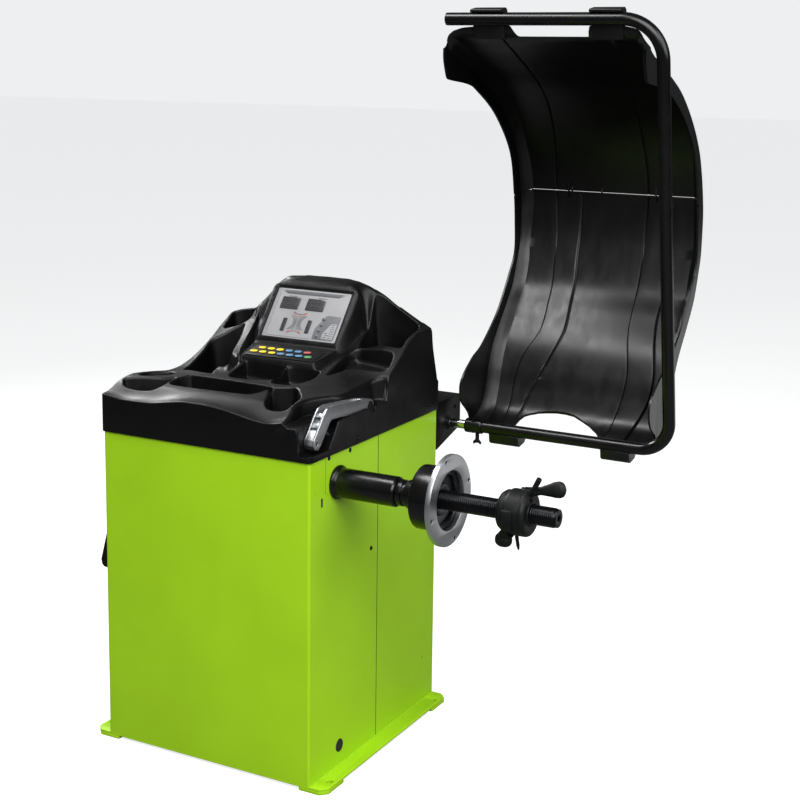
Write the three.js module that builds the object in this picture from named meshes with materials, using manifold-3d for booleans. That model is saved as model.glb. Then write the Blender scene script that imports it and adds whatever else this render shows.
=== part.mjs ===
import * as THREE from 'three';
import { mergeVertices } from 'three/addons/utils/BufferGeometryUtils.js';
import Module from 'manifold-3d';

// Wheel balancer. Millimetres, X right along the shaft, Y back, Z up, floor at Z = 0.

// Driving dimensions
const GAP = 0.3;
const cabinet = { w: 482, d: 516, top: 647.7, wall: 3, seam: 2 };
const base = { w: 554, foot: 7, t: 5, chamfer: 14, holeX: 264, holeY: 218, holeR: 6.5 };
const cover = { w: 490, d: 524, bottom: 648 };
const shaft = { y: -156, z: 589, r: 18, tip: 695 };
const ring = { x0: 471.3, x1: 481.3, ro: 85.7, ri: 56.2 };
const hinge = { y: 318, z: 606 };
const hood = { lean: 9.43, x0: 280, x1: 704, tubeR: 12.7, legX: 737, top: 870 };
const gauge = { y: -30, z: 712, x0: 218, x1: 240 };
const motorAt = { y: -150, z: 250 };
const floorTop = base.foot + base.t + GAP;

const wasm = await Module();
wasm.setup();

// ---------- helpers ----------

const rad = (d) => (d * Math.PI) / 180;

function clean(geometry) {
  const g = geometry.clone();
  g.deleteAttribute('normal');
  g.deleteAttribute('uv');
  return mergeVertices(g, 1e-4);
}

function outward(geometry) {
  const g = clean(geometry);
  const p = g.attributes.position;
  const idx = g.index.array;
  const a = new THREE.Vector3();
  const b = new THREE.Vector3();
  const c = new THREE.Vector3();
  let volume = 0;
  for (let i = 0; i < idx.length; i += 3) {
    a.fromBufferAttribute(p, idx[i]);
    b.fromBufferAttribute(p, idx[i + 1]);
    c.fromBufferAttribute(p, idx[i + 2]);
    volume += a.dot(b.cross(c));
  }
  if (volume < 0) {
    for (let i = 0; i < idx.length; i += 3) {
      const t = idx[i];
      idx[i] = idx[i + 1];
      idx[i + 1] = t;
    }
  }
  return g;
}

function solid(geometry) {
  const g = outward(geometry);
  return new wasm.Manifold(new wasm.Mesh({
    numProp: 3,
    vertProperties: new Float32Array(g.attributes.position.array),
    triVerts: new Uint32Array(g.index.array),
  }));
}

function fromSolid(m) {
  const mesh = m.getMesh();
  const g = new THREE.BufferGeometry();
  const pos = new Float32Array(mesh.numVert * 3);
  for (let i = 0; i < mesh.numVert; i++) {
    for (let k = 0; k < 3; k++) pos[i * 3 + k] = mesh.vertProperties[i * mesh.numProp + k];
  }
  g.setAttribute('position', new THREE.BufferAttribute(pos, 3));
  g.setIndex(new THREE.BufferAttribute(new Uint32Array(mesh.triVerts), 1));
  return g;
}

const add = (...list) => fromSolid(list.map(solid).reduce((a, b) => a.add(b)));
const cut = (g, ...tools) => fromSolid(tools.map(solid).reduce((a, b) => a.subtract(b), solid(g)));

function box(x0, x1, y0, y1, z0, z1) {
  const g = new THREE.BoxGeometry(x1 - x0, y1 - y0, z1 - z0);
  return g.translate((x0 + x1) / 2, (y0 + y1) / 2, (z0 + z1) / 2);
}

function shapeOf(points) {
  return new THREE.Shape(points.map(([a, b]) => new THREE.Vector2(a, b)));
}

// Outline in X, Y raised along Z.
function prismZ(points, z0, z1) {
  const g = new THREE.ExtrudeGeometry(shapeOf(points), { depth: z1 - z0, bevelEnabled: false });
  return g.translate(0, 0, z0);
}

// Outline in Y, Z raised along X.
function prismX(points, x0, x1) {
  const g = new THREE.ExtrudeGeometry(shapeOf(points), { depth: x1 - x0, bevelEnabled: false });
  g.applyMatrix4(new THREE.Matrix4().set(0, 0, 1, x0, 1, 0, 0, 0, 0, 1, 0, 0, 0, 0, 0, 1));
  return g;
}

// Outline in X, Z raised along Y.
function prismY(points, y0, y1) {
  const g = new THREE.ExtrudeGeometry(shapeOf(points), { depth: y1 - y0, bevelEnabled: false });
  g.applyMatrix4(new THREE.Matrix4().set(1, 0, 0, 0, 0, 0, -1, y1, 0, 1, 0, 0, 0, 0, 0, 1));
  return g;
}

// Profile of [x, radius] pairs turned about the X line through y, z.
function turnX(profile, y, z, seg = 32) {
  const g = new THREE.LatheGeometry(profile.map(([x, r]) => new THREE.Vector2(r, x)), seg);
  g.applyMatrix4(new THREE.Matrix4().set(0, 1, 0, 0, 1, 0, 0, y, 0, 0, 1, z, 0, 0, 0, 1));
  return g;
}

const rodX = (r, x0, x1, y, z, seg) => turnX([[x0, 0], [x0, r], [x1, r], [x1, 0]], y, z, seg);
const tubeX = (ro, ri, x0, x1, y, z, seg) =>
  turnX([[x0, ri], [x0, ro], [x1, ro], [x1, ri], [x0, ri]], y, z, seg);

function rodZ(r, x, y, z0, z1, seg = 20) {
  const g = new THREE.CylinderGeometry(r, r, z1 - z0, seg);
  return g.rotateX(Math.PI / 2).translate(x, y, (z0 + z1) / 2);
}

function rodY(r, x, z, y0, y1, seg = 20) {
  return new THREE.CylinderGeometry(r, r, y1 - y0, seg).translate(x, (y0 + y1) / 2, z);
}

const looks = {
  green: { color: 0x95c41e, roughness: 0.45 },
  black_plastic: { color: 0x1b1c1e, roughness: 0.5 },
  black_paint: { color: 0x151516, roughness: 0.4, metalness: 0.2 },
  steel: { color: 0xb9bcc0, roughness: 0.3, metalness: 1 },
  chrome: { color: 0xdadcdf, roughness: 0.12, metalness: 1 },
  aluminium: { color: 0xc9cbcd, roughness: 0.35, metalness: 1 },
  overlay: { color: 0xc9ccd0, roughness: 0.5 },
  window: { color: 0x3a0c0c, roughness: 0.2 },
  key_yellow: { color: 0xe8d416, roughness: 0.5 },
  key_blue: { color: 0x8fb4d0, roughness: 0.5 },
  key_red: { color: 0xd07a78, roughness: 0.5 },
  key_green: { color: 0x9ac09a, roughness: 0.5 },
  rubber: { color: 0x111111, roughness: 0.8 },
  board: { color: 0x1c5a33, roughness: 0.6 },
  cast: { color: 0x55585c, roughness: 0.6, metalness: 0.6 },
};
const materials = Object.fromEntries(
  Object.entries(looks).map(([k, v]) => [k, new THREE.MeshStandardMaterial(v)]),
);

const root = new THREE.Group();
root.name = 'wheel_balancer';

function piece(name, geometry, look) {
  const g = outward(geometry);
  g.computeVertexNormals();
  const mesh = new THREE.Mesh(g, materials[look]);
  mesh.name = name;
  root.add(mesh);
}

// ---------- cabinet ----------

function basePlate() {
  const x = base.w / 2;
  const y = cabinet.d / 2;
  const c = base.chamfer;
  const outline = [
    [-x + c, -y], [x - c, -y], [x, -y + c], [x, y - c],
    [x - c, y], [-x + c, y], [-x, y - c], [-x, -y + c],
  ];
  const holes = [];
  const feet = [box(-150, 150, -30, 30, 0, base.foot)];
  for (const sx of [-1, 1]) {
    for (const sy of [-1, 1]) {
      holes.push(rodZ(base.holeR, sx * base.holeX, sy * base.holeY, -1, 20, 16));
      const pad = [[x, y - c], [x - c, y], [x - 60, y], [x - 60, y - 72], [x, y - 72]];
      feet.push(prismZ(pad.map(([a, b]) => [sx * a, sy * b]), 0, base.foot));
    }
  }
  return cut(add(prismZ(outline, base.foot, base.foot + base.t), ...feet), ...holes);
}

function shell(front) {
  const x = cabinet.w / 2;
  const y = cabinet.d / 2;
  const w = cabinet.wall;
  const z0 = floorTop;
  if (front) {
    const body = box(-x, x, -y, cabinet.seam, z0, cabinet.top);
    const inside = box(-x + w, x - w, -y + w, cabinet.seam + 5, z0 - 5, cabinet.top + 5);
    return cut(body, inside, rodX(30, x - 10, x + 10, shaft.y, shaft.z, 32));
  }
  const y0 = cabinet.seam + GAP;
  const body = box(-x, x, y0, y, z0, cabinet.top);
  const inside = box(-x + w, x - w, y0 - 5, y - w, z0 - 5, cabinet.top + 5);
  const inletHole = box(-201, -169, y - 10, y + 10, 109, 141);
  const switchHole = box(-151, -129, y - 10, y + 10, 109, 141);
  return cut(body, inside, inletHole, switchHole);
}

function buildCabinet() {
  piece('base_plate', basePlate(), 'green');
  piece('cabinet_front_shell', shell(true), 'green');
  piece('cabinet_rear_shell', shell(false), 'green');
  piece('deck_plate', box(-237.7, 237.7, -254.7, 254.7, 641, 644), 'black_paint');
  piece('tool_hanger', prismY([[-241.3, 457], [-265, 372], [-262, 364], [-241.3, 357]], -246, -216), 'black_plastic');
  piece('mains_inlet', add(
    box(-200.7, -169.3, 240, 257.7, 109.3, 140.7),
    box(-204, -166, 258.3, 261, 106, 144),
    box(-200.7, -169.3, 257, 259, 109.3, 140.7),
  ), 'black_plastic');
  piece('switch_frame', cut(
    add(box(-150.7, -129.3, 243, 259, 109.3, 140.7), box(-154, -126, 258.3, 261, 106, 144)),
    box(-147, -133, 250, 270, 113, 137),
  ), 'black_plastic');
  piece('power_rocker', prismX([[254, 114.5], [260.8, 114.5], [259.8, 125], [260.8, 135.5], [254, 135.5],
    [251.5, 125]], -146.5, -133.5), 'black_plastic');
}

// ---------- spindle ----------

function beltLoop(ra, rb) {
  const dy = motorAt.y - shaft.y;
  const dz = motorAt.z - shaft.z;
  const dist = Math.hypot(dy, dz);
  const dir = Math.atan2(dz, dy);
  const open = Math.acos((ra - rb) / dist);
  const pts = [];
  const n = 14;
  for (let i = 0; i <= n; i++) {
    const t = dir + open + ((2 * Math.PI - 2 * open) * i) / n;
    pts.push([shaft.y + ra * Math.cos(t), shaft.z + ra * Math.sin(t)]);
  }
  for (let i = 0; i <= 8; i++) {
    const t = dir - open + (2 * open * i) / 8;
    pts.push([motorAt.y + rb * Math.cos(t), motorAt.z + rb * Math.sin(t)]);
  }
  return pts;
}

function buildSpindle() {
  const { y, z } = shaft;
  piece('spindle_housing', turnX([
    [-40, 24], [-40, 28.7], [241.3, 28.7], [241.3, 33], [247, 33], [249, 28.7],
    [375, 28.7], [375, 24], [-40, 24],
  ], y, z, 32), 'black_paint');
  piece('spindle_cradle', cut(box(60, 140, -204, -108, 545, 633), rodX(29, 50, 150, y, z, 32)), 'cast');
  piece('spindle_frame', add(
    box(96, 104, -240, -72, floorTop, 516),
    box(60, 140, -230, -82, 512, 520),
  ), 'black_paint');
  piece('sensor_front', rodZ(12, 100, -196, 520.3, 544.7, 16), 'steel');
  piece('sensor_rear', rodZ(12, 100, -116, 520.3, 544.7, 16), 'steel');
  piece('bearing_inner', tubeX(23.7, 17.3, -36, -20, y, z, 24), 'steel');
  piece('bearing_outer', tubeX(23.7, 17.3, 355, 371, y, z, 24), 'steel');
  const hex = new THREE.CylinderGeometry(6.5, 6.5, 30, 6).rotateZ(Math.PI / 2);
  piece('main_shaft', cut(turnX([
    [-110, 0], [-110, 17], [376, 17], [376, 18], [688, 18], [691, 16.7], [695, 16.7], [695, 0],
  ], y, z, 32), hex.translate(695, y, z)), 'steel');
  piece('wheel_hub', turnX([
    [376.3, 18.3], [376.3, 25], [388, 25], [388, 22], [396, 22], [396, 27], [408, 27], [412, 34],
    [419, 38], [423, 60], [471, 60], [471, 50], [463, 50], [463, 18.3], [376.3, 18.3],
  ], y, z, 32), 'black_paint');
  const boltHoles = [];
  for (let i = 0; i < 4; i++) {
    const t = rad(90 * i + 15);
    boltHoles.push(rodX(3.5, 470, 483, y + 78.5 * Math.cos(t), z + 78.5 * Math.sin(t), 8));
  }
  piece('wheel_flange', cut(tubeX(ring.ro, ring.ri, ring.x0, ring.x1, y, z, 48), ...boltHoles), 'steel');
  piece('shaft_pulley', turnX([
    [-107, 17.3], [-107, 47], [-104, 47], [-104, 43], [-82, 43], [-82, 47], [-79, 47], [-79, 17.3], [-107, 17.3],
  ], y, z, 32), 'aluminium');
  piece('encoder_disc', tubeX(45, 17.3, -72, -70, y, z, 32), 'steel');
  piece('encoder_board', box(-76, -66, -109, -95, 574, 604), 'board');
  piece('drive_belt', cut(prismX(beltLoop(47, 24), -102, -84), prismX(beltLoop(44, 21.2), -110, -70)), 'rubber');
  piece('motor', rodX(55, -58, 80, motorAt.y, motorAt.z, 24), 'cast');
  piece('motor_mount', add(box(-50, 74, -210, -90, 180, 194.7), box(-50, -42, -210, -90, floorTop, 190),
    box(66, 74, -210, -90, floorTop, 190)), 'black_paint');
  piece('motor_pulley', turnX([
    [-108, 0], [-108, 24], [-104, 24], [-104, 20], [-82, 20], [-82, 24], [-78, 24], [-78, 8],
    [-58.3, 8], [-58.3, 0],
  ], motorAt.y, motorAt.z, 24), 'aluminium');
  piece('power_board', box(-100, 60, 225, 232, 330, 480), 'board');
}

// ---------- nut ----------

// Flat lever in the plane through the spindle axis, from one [x, radius] to another.
function lever(angle, from, to, wide, thick) {
  const [xa, ra] = from;
  const [xb, rb] = to;
  const length = Math.hypot(xb - xa, rb - ra);
  const g = box(0, length, -thick / 2, thick / 2, -wide / 2, wide / 2);
  g.rotateY(-Math.atan2(rb - ra, xb - xa)).translate(xa, 0, ra);
  return g.rotateX(rad(angle - 90)).translate(0, shaft.y, shaft.z);
}

function buildNut() {
  const { y, z } = shaft;
  piece('nut_collar', turnX([[584, 18.4], [584, 29], [587, 34], [590, 35.6], [590, 18.4], [584, 18.4]], y, z, 32), 'black_plastic');
  piece('nut_body', add(
    turnX([[590.3, 18.4], [590.3, 36], [593, 38.5], [602, 38.5], [605, 42], [638, 42], [642, 40], [643, 36],
      [643, 18.4], [590.3, 18.4]], y, z, 32),
    box(602, 621, y - 45.5, y - 37, z - 24, z + 6),
    lever(78, [628, 34], [664, 42], 16, 12),
    lever(78, [656, 40], [700, 50], 24, 12),
    lever(-100, [592, 36], [592, 68], 32, 18),
    lever(100, [640, 30], [662, 74], 7, 7),
    lever(-80, [610, 36], [613, 76], 7, 7),
  ), 'black_plastic');
}

// ---------- hood ----------

const hoodPlace = new THREE.Matrix4()
  .makeTranslation(0, hinge.y, hinge.z)
  .multiply(new THREE.Matrix4().makeRotationX(rad(hood.lean)));

// Outer line of the moulded back, [distance behind the frame plane, height above the hinge].
const backLine = [
  [26, -14], [63, -12], [100, 6], [126, 44], [148, 89], [181, 135], [244, 192], [295, 242], [336, 320],
  [356, 385], [360, 440], [347, 526], [305, 613], [236, 695], [158, 750], [70, 800], [14, 834],
];
// Front edge of the side walls, same axes.
const frontLine = [
  [10, 30], [-18, 62], [-13, 105], [44, 136], [92, 149], [152, 180], [195, 210], [256, 269],
  [290, 310], [300, 378], [302, 441], [290, 537], [223, 633], [138, 701], [97, 722], [14, 746], [2, 756], [-5, 798],
];

// Arched gap in the foot of the lower half, in X and distance behind the frame plane.
const archLine = [[370, 0], [374, 75], [381, 87], [398, 96], [434, 101], [462, 103], [492, 100], [524, 88],
  [548, 73], [566, 51], [578, 26], [582, 0]];

function inward(line, t) {
  return line.map(([b, h], i) => {
    const [b0, h0] = line[Math.max(0, i - 1)];
    const [b1, h1] = line[Math.min(line.length - 1, i + 1)];
    const n = Math.hypot(b1 - b0, h1 - h0);
    return [b - ((h1 - h0) / n) * t, h + ((b1 - b0) / n) * t];
  });
}

function hoodShell(hLow, hHigh, clips) {
  const t = 4;
  const back = prismX([...backLine, ...inward(backLine, t).reverse()], hood.x0, hood.x1);
  const wallLine = [...backLine, ...[...frontLine].reverse()];
  const parts = [solid(back)];
  for (const x of [hood.x0, hood.x1 - t]) parts.push(solid(prismX(wallLine, x, x + t)));
  let shellSolid = parts.reduce((a, b) => a.add(b));
  shellSolid = shellSolid.intersect(solid(box(0, 1000, -100, 500, hLow, hHigh)));
  if (hLow < 0) shellSolid = shellSolid.subtract(solid(prismZ(archLine, -30, 24)));
  else for (const tab of topTabs) shellSolid = shellSolid.add(solid(prismY(tab, 2, 14.1)));
  for (const c of clips) shellSolid = shellSolid.add(solid(c));
  for (const c of clips) {
    if (c.userData.bore) shellSolid = shellSolid.subtract(solid(c.userData.bore));
  }
  return fromSolid(shellSolid).applyMatrix4(hoodPlace);
}

// Open cradles behind the pipe: outlines in [distance behind the pipe, height above it].
const topCradle = [[-8, 0], [-8, 20], [18, 20], [24, 15], [24, -8], [16, -14], [16, -40], [2, -40], [2, 0]];
const lowCradle = [[0, 0], [-12, -8], [-12, -27], [-5, -33], [22, -33], [30, -26], [36, -12], [36, -9], [15, 4]];

function clip(x0, x1, h, up) {
  const outline = (up ? topCradle : lowCradle).map(([b, k]) => [b, h + k]);
  const cradle = prismX(outline, x0, x1);
  cradle.userData.bore = rodX(13, x0 - 1, x1 + 1, 0, h, 20);
  return cradle;
}

// Raised corners of the upper half that reach up behind the pipe, in X and height.
const topTabs = [
  [[280, 798], [280, 812], [292, 834], [314, 850], [422, 856], [438, 833], [438, 800]],
  [[588, 800], [588, 856], [656, 856], [688, 848], [700, 836], [704, 815], [704, 798]],
];

function hoodFrame() {
  const r1 = 65;
  const r2 = 78;
  const P = (x, h) => new THREE.Vector3(x, 0, h);
  const pts = [P(292, hood.top)];
  for (let i = 0; i <= 8; i++) {
    const t = rad(90 - (90 * i) / 8);
    pts.push(P(hood.legX - r2 + r2 * Math.cos(t), hood.top - r2 + r2 * Math.sin(t)));
  }
  for (let i = 0; i <= 8; i++) {
    const t = rad((-90 * i) / 8);
    pts.push(P(hood.legX - r1 + r1 * Math.cos(t), r1 + r1 * Math.sin(t)));
  }
  pts.push(P(282.3, 0));
  return sweep(pts, hood.tubeR, 10.7, 12).applyMatrix4(hoodPlace);
}

// Round pipe swept through points that lie in the X, Z plane.
function sweep(pts, ro, ri, seg) {
  const verts = [];
  const index = [];
  const n = pts.length;
  for (let i = 0; i < n; i++) {
    const a = pts[Math.max(0, i - 1)];
    const b = pts[Math.min(n - 1, i + 1)];
    const dir = b.clone().sub(a).normalize();
    const side = new THREE.Vector3(0, 1, 0);
    const up = new THREE.Vector3().crossVectors(dir, side);
    for (const r of [ro, ri]) {
      for (let k = 0; k < seg; k++) {
        const t = (2 * Math.PI * k) / seg;
        const p = pts[i].clone().addScaledVector(side, r * Math.cos(t)).addScaledVector(up, r * Math.sin(t));
        verts.push(p.x, p.y, p.z);
      }
    }
  }
  const at = (i, ringNo, k) => i * 2 * seg + ringNo * seg + (k % seg);
  const quad = (a, b, c, d) => index.push(a, b, c, a, c, d);
  for (let i = 0; i < n - 1; i++) {
    for (let k = 0; k < seg; k++) {
      quad(at(i, 0, k), at(i, 0, k + 1), at(i + 1, 0, k + 1), at(i + 1, 0, k));
      quad(at(i, 1, k + 1), at(i, 1, k), at(i + 1, 1, k), at(i + 1, 1, k + 1));
    }
  }
  for (let k = 0; k < seg; k++) {
    quad(at(0, 0, k + 1), at(0, 0, k), at(0, 1, k), at(0, 1, k + 1));
    quad(at(n - 1, 0, k), at(n - 1, 0, k + 1), at(n - 1, 1, k + 1), at(n - 1, 1, k));
  }
  const g = new THREE.BufferGeometry();
  g.setAttribute('position', new THREE.BufferAttribute(new Float32Array(verts), 3));
  g.setIndex(index);
  return g;
}

function buildHood() {
  const { y, z } = hinge;
  const side = [[258.3, 557], [372, 588], [372, 660], [262.3, 660], [262.3, 647.6], [258.3, 647.6]];
  const inner = [[262, 562], [368, 592], [368, 656], [266, 656], [266, 644], [262, 644]];
  piece('hood_bracket', cut(prismX(side, 100, 241), prismX(inner, 104, 237), rodX(11, 230, 250, y, z, 20)), 'black_paint');
  piece('hood_switch', box(205, 225, 266, 290, 620, 650), 'black_plastic');
  piece('pivot_pin', turnX([[228, 0], [228, 15], [236.5, 15], [236.5, 9.8], [241.3, 9.8], [241.3, 15], [246, 15],
    [246, 9.8], [282, 9.8], [282, 0]], y, z, 20), 'chrome');
  piece('hood_frame', hoodFrame(), 'black_paint');
  piece('pivot_socket', tubeX(15.5, 13, 283, 322, y, z, 20), 'black_paint');
  piece('socket_screw', add(rodZ(4, 0, 0, -32, -15.8, 10), box(-9, 9, -2, 2, -40, -30)).translate(309, y, z), 'steel');
  piece('hood_shell_upper', hoodShell(436.3, 900, [clip(346, 413, hood.top, true), clip(594, 658, hood.top, true)]), 'black_plastic');
  piece('hood_shell_lower', hoodShell(-20, 436, [clip(340, 408, 0, false), clip(592, 655, 0, false)]), 'black_plastic');
}

// ---------- console ----------

const lerp = (a, b, t) => a + (b - a) * t;
function along(table, t) {
  if (t <= table[0][0]) return table[0][1];
  for (let i = 1; i < table.length; i++) {
    const [t1, v1] = table[i];
    const [t0, v0] = table[i - 1];
    if (t <= t1) return lerp(v0, v1, (t - t0) / (t1 - t0));
  }
  return table[table.length - 1][1];
}
function ease(a, b, t) {
  const u = Math.min(1, Math.max(0, (t - a) / (b - a)));
  return u * u * (3 - 2 * u);
}

// Heights of the cover along its left edge, middle, right edge and front edge.
const leftEdge = [[-262, 722], [-230, 734], [-190, 745], [-160, 748], [-100, 741], [-40, 732], [0, 734],
  [40, 744], [80, 760], [120, 780], [160, 805], [200, 821], [262, 824]];
const middle = [[-262, 728], [-195, 743], [-100, 747], [0, 762], [60, 775], [110, 790], [200, 840], [262, 860]];
const rightEdge = [[-262, 712], [-200, 735], [-160, 742], [-100, 742], [0, 748], [24, 750], [60, 774],
  [103, 802], [132, 818], [167, 830], [222, 826], [262, 814]];
const frontEdge = [[-245, 726], [-195, 718], [-122, 720], [-50, 732], [10, 732], [55, 728], [123, 715],
  [157, 713], [190, 722], [245, 722]];
// Display housing: height along Y, half width along Y.
const housing = [[0, 762], [5, 775], [66, 787], [78, 790], [163, 899], [174, 910], [190, 917], [222, 919], [262, 915]];
const housingHalf = [[0, 87], [5, 87], [78, 100], [135, 114], [163, 112], [262, 84]];

function trayHeight(x, y) {
  const a = ease(-240, -110, x);
  const b = ease(120, 240, x);
  const mid = lerp(along(leftEdge, y), along(middle, y), a);
  const z = lerp(mid, along(rightEdge, y), b);
  return lerp(along(frontEdge, x), z, ease(-262, -205, y));
}

function coverHeight(x, y) {
  const z = trayHeight(x, y);
  if (y < 0) return z;
  const half = along(housingHalf, y);
  const k = 1 - ease(half, half + 14, Math.abs(x + 2));
  return Math.max(z, lerp(z, along(housing, y), k));
}

function heightSolid(xs, ys, f, z0) {
  const verts = [];
  const index = [];
  const nx = xs.length;
  const ny = ys.length;
  for (const level of [0, 1]) {
    for (const y of ys) for (const x of xs) verts.push(x, y, level ? f(x, y) : z0);
  }
  const at = (level, i, j) => level * nx * ny + j * nx + i;
  const quad = (a, b, c, d) => index.push(a, b, c, a, c, d);
  for (let j = 0; j < ny - 1; j++) {
    for (let i = 0; i < nx - 1; i++) {
      quad(at(1, i, j), at(1, i + 1, j), at(1, i + 1, j + 1), at(1, i, j + 1));
      quad(at(0, i, j), at(0, i, j + 1), at(0, i + 1, j + 1), at(0, i + 1, j));
    }
  }
  for (let i = 0; i < nx - 1; i++) {
    quad(at(0, i, 0), at(0, i + 1, 0), at(1, i + 1, 0), at(1, i, 0));
    quad(at(0, i + 1, ny - 1), at(0, i, ny - 1), at(1, i, ny - 1), at(1, i + 1, ny - 1));
  }
  for (let j = 0; j < ny - 1; j++) {
    quad(at(0, 0, j + 1), at(0, 0, j), at(1, 0, j), at(1, 0, j + 1));
    quad(at(0, nx - 1, j), at(0, nx - 1, j + 1), at(1, nx - 1, j + 1), at(1, nx - 1, j));
  }
  const g = new THREE.BufferGeometry();
  g.setAttribute('position', new THREE.BufferAttribute(new Float32Array(verts), 3));
  g.setIndex(index);
  return g;
}

const pockets = [
  { floor: 702, line: [[-229, -207], [-234, -193], [-214, -182], [-172, -163], [-152, -140], [-144, -165],
    [-139, -205], [-158, -221], [-208, -221]] },
  { floor: 715, line: [[-230, -152], [-235, -125], [-230, -101], [-210, -80], [-188, -90], [-180, -121],
    [-196, -148], [-215, -165]] },
  { floor: 700, line: [[-207, -32], [-224, 24], [-231, 76], [-234, 107], [-220, 124], [-187, 155], [-175, 138],
    [-139, 44], [-96, 3], [-78, -39], [-80, -70], [-106, -82], [-146, -75]] },
  { floor: 765, line: [[-228, 146], [-236, 168], [-236, 205], [-208, 209], [-174, 207], [-174, 185],
    [-190, 160]] },
  { floor: 706, line: [[-132, -182], [-141, -148], [-138, -114], [-124, -108], [-40, -109], [57, -114], [68, -122],
    [68, -140], [57, -179], [14, -186], [-103, -190]] },
  { floor: 727, line: [[-68, -40], [-71, -8], [-62, 0], [20, -1], [28, -8], [40, -57], [33, -79], [6, -87],
    [-38, -91], [-60, -80]] },
  { floor: 727, line: [[50, -91], [39, -52], [33, -14], [42, -2], [96, -1], [112, -12], [116, -45], [105, -76],
    [94, -89]] },
  { floor: 672, line: [[67, -124], [82, -111], [112, -102], [134, -124], [158, -159], [166, -205], [157, -220],
    [126, -222], [110, -206], [92, -171]] },
  { floor: 745, line: [[132, -14], [150, 22], [168, 38], [222, 46], [231, 60], [226, 88], [212, 99], [174, 106],
    [128, 108], [122, 60]] },
  { floor: 758, line: [[130, 118], [178, 118], [232, 108], [236, 130], [233, 196], [206, 208], [128, 208],
    [122, 180]] },
];

// Open trough for the gauge arm: upper step, arm channel and front well.
const troughRim = [[192, -270], [181, -228], [176, -196], [177, -166], [188, -136], [200, -115], [216, -92],
  [217, 0], [221, 22], [229, 32], [250, 34], [250, -270]];

function consoleCover() {
  const xs = [-245, -238, -220, -195, -160, -122, -113, -100, -89, -50, 0, 50, 85, 96, 109, 120, 150, 180,
    205, 225, 245];
  const ys = [-262, -250, -235, -215, -195, -160, -130, -100, -65, -30, 0, 5, 35, 66, 78, 120, 163, 176, 200,
    235, 262];
  const body = heightSolid(xs, ys, coverHeight, cover.bottom);
  const tools = pockets.map((p) => prismZ(p.line, p.floor, 1000));
  tools.push(prismZ(troughRim, 710, 1000));
  tools.push(box(216.5, 241, -262.5, 6, 694, 1000));
  tools.push(box(240, 250, -41, -19, 701, 724));
  tools.push(prismX([[-270, 661], [-192, 661], [-172, 690], [-156, 710], [-156, 720], [-270, 720]], 216.5, 250));
  tools.push(box(216.5, 241, -258, -186, 656, 720));
  tools.push(box(-66, 217, -46, -16, 695, 724));
  tools.push(box(-238, 238, -255, 255, 640, 664));
  tools.push(prismX([[70, 650], [70, 765], [80, 772], [160, 874], [180, 892], [202, 894], [214, 800], [236, 720],
    [240, 650]], -80, 76));
  tools.push(prismX([[263, 690], [259, 712], [251, 714], [227, 794], [219, 870], [212, 930], [263, 930]], -250, 250));
  return cut(body, ...tools);
}

// Flat pieces that lie on a slope: x centre, distance up the slope, width, height, offset and thickness.
function slopePlate(slope, x, s, w, h, off, t) {
  const g = new THREE.BoxGeometry(w, h, t);
  g.translate(x, s, off + t / 2);
  g.rotateX(slope.angle);
  return g.translate(0, slope.y, slope.z);
}

function slopeKey(slope, x, s, w, h, off, t) {
  const g = new THREE.CylinderGeometry(w / 2, w / 2, t, 20);
  g.rotateX(Math.PI / 2).scale(1, h / w, 1).translate(x, s, off + t / 2).rotateX(slope.angle);
  return g.translate(0, slope.y, slope.z);
}

const displaySlope = { y: 78, z: 790, angle: Math.atan2(109, 85) };
const keypadSlope = { y: 5, z: 775, angle: Math.atan2(12, 61) };

function buildConsole() {
  piece('console_cover', consoleCover(), 'black_plastic');
  piece('display_overlay', slopePlate(displaySlope, -2, 73, 180, 118, GAP, 1.2), 'overlay');
  const off = GAP + 1.5;
  piece('window_left', slopePlate(displaySlope, -51, 93, 42, 27, off, 0.8), 'window');
  piece('window_right', slopePlate(displaySlope, 12, 93, 42, 27, off, 0.8), 'window');
  piece('led_bar_left', slopePlate(displaySlope, -48, 43, 9, 31, off, 0.8), 'window');
  piece('led_bar_right', slopePlate(displaySlope, 13, 43, 9, 31, off, 0.8), 'window');
  piece('keypad_panel', slopePlate(keypadSlope, -1, 30, 168, 56, GAP, 1.0), 'overlay');
  const upper = ['yellow', 'yellow', 'yellow', 'blue', 'blue', 'red'];
  const lower = ['yellow', 'yellow', 'yellow', 'blue', 'blue', 'blue', 'green'];
  upper.forEach((c, i) => {
    piece(`key_upper_${i + 1}`, slopeKey(keypadSlope, -62 + 22 * i, 41, 17, 11, 2.4, 1.2), `key_${c}`);
  });
  lower.forEach((c, i) => {
    piece(`key_lower_${i + 1}`, slopeKey(keypadSlope, -70 + 22 * i, 20, 17, 11, 2.4, 1.2), `key_${c}`);
  });
  piece('computer_board', box(-150, 40, 60, 220, 650, 653), 'board');
}

// ---------- gauge ----------

function gaugeArm() {
  const { x0, x1 } = gauge;
  const outline = [
    [-22, 699], [-16, 706], [-16, 715], [-21, 724], [-60, 731], [-140, 738], [-176, 741], [-192, 739],
    [-203, 731], [-240, 688], [-243, 677], [-237, 668], [-226, 666], [-218, 671], [-180, 714], [-168, 714],
    [-100, 708], [-50, 701],
  ];
  const inside = [[-60, 712], [-60, 760], [-215, 760], [-226, 690], [-188, 727], [-176, 728], [-100, 722]];
  const hole = rodX(3.2, x0 - 5, x1 + 5, -230, 679, 10);
  return cut(prismX(outline, x0, x1), prismX(inside, x0 + 3, x1 - 5), hole);
}

function buildGauge() {
  piece('gauge_carriage', cut(box(-62, -38, -43, -17, 699, 721), rodX(8.3, -70, -30, gauge.y, gauge.z, 20)),
    'aluminium');
  piece('gauge_rod', rodX(8, -64, 217.7, gauge.y, gauge.z, 20), 'chrome');
  piece('gauge_arm', gaugeArm(), 'aluminium');
}

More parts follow.
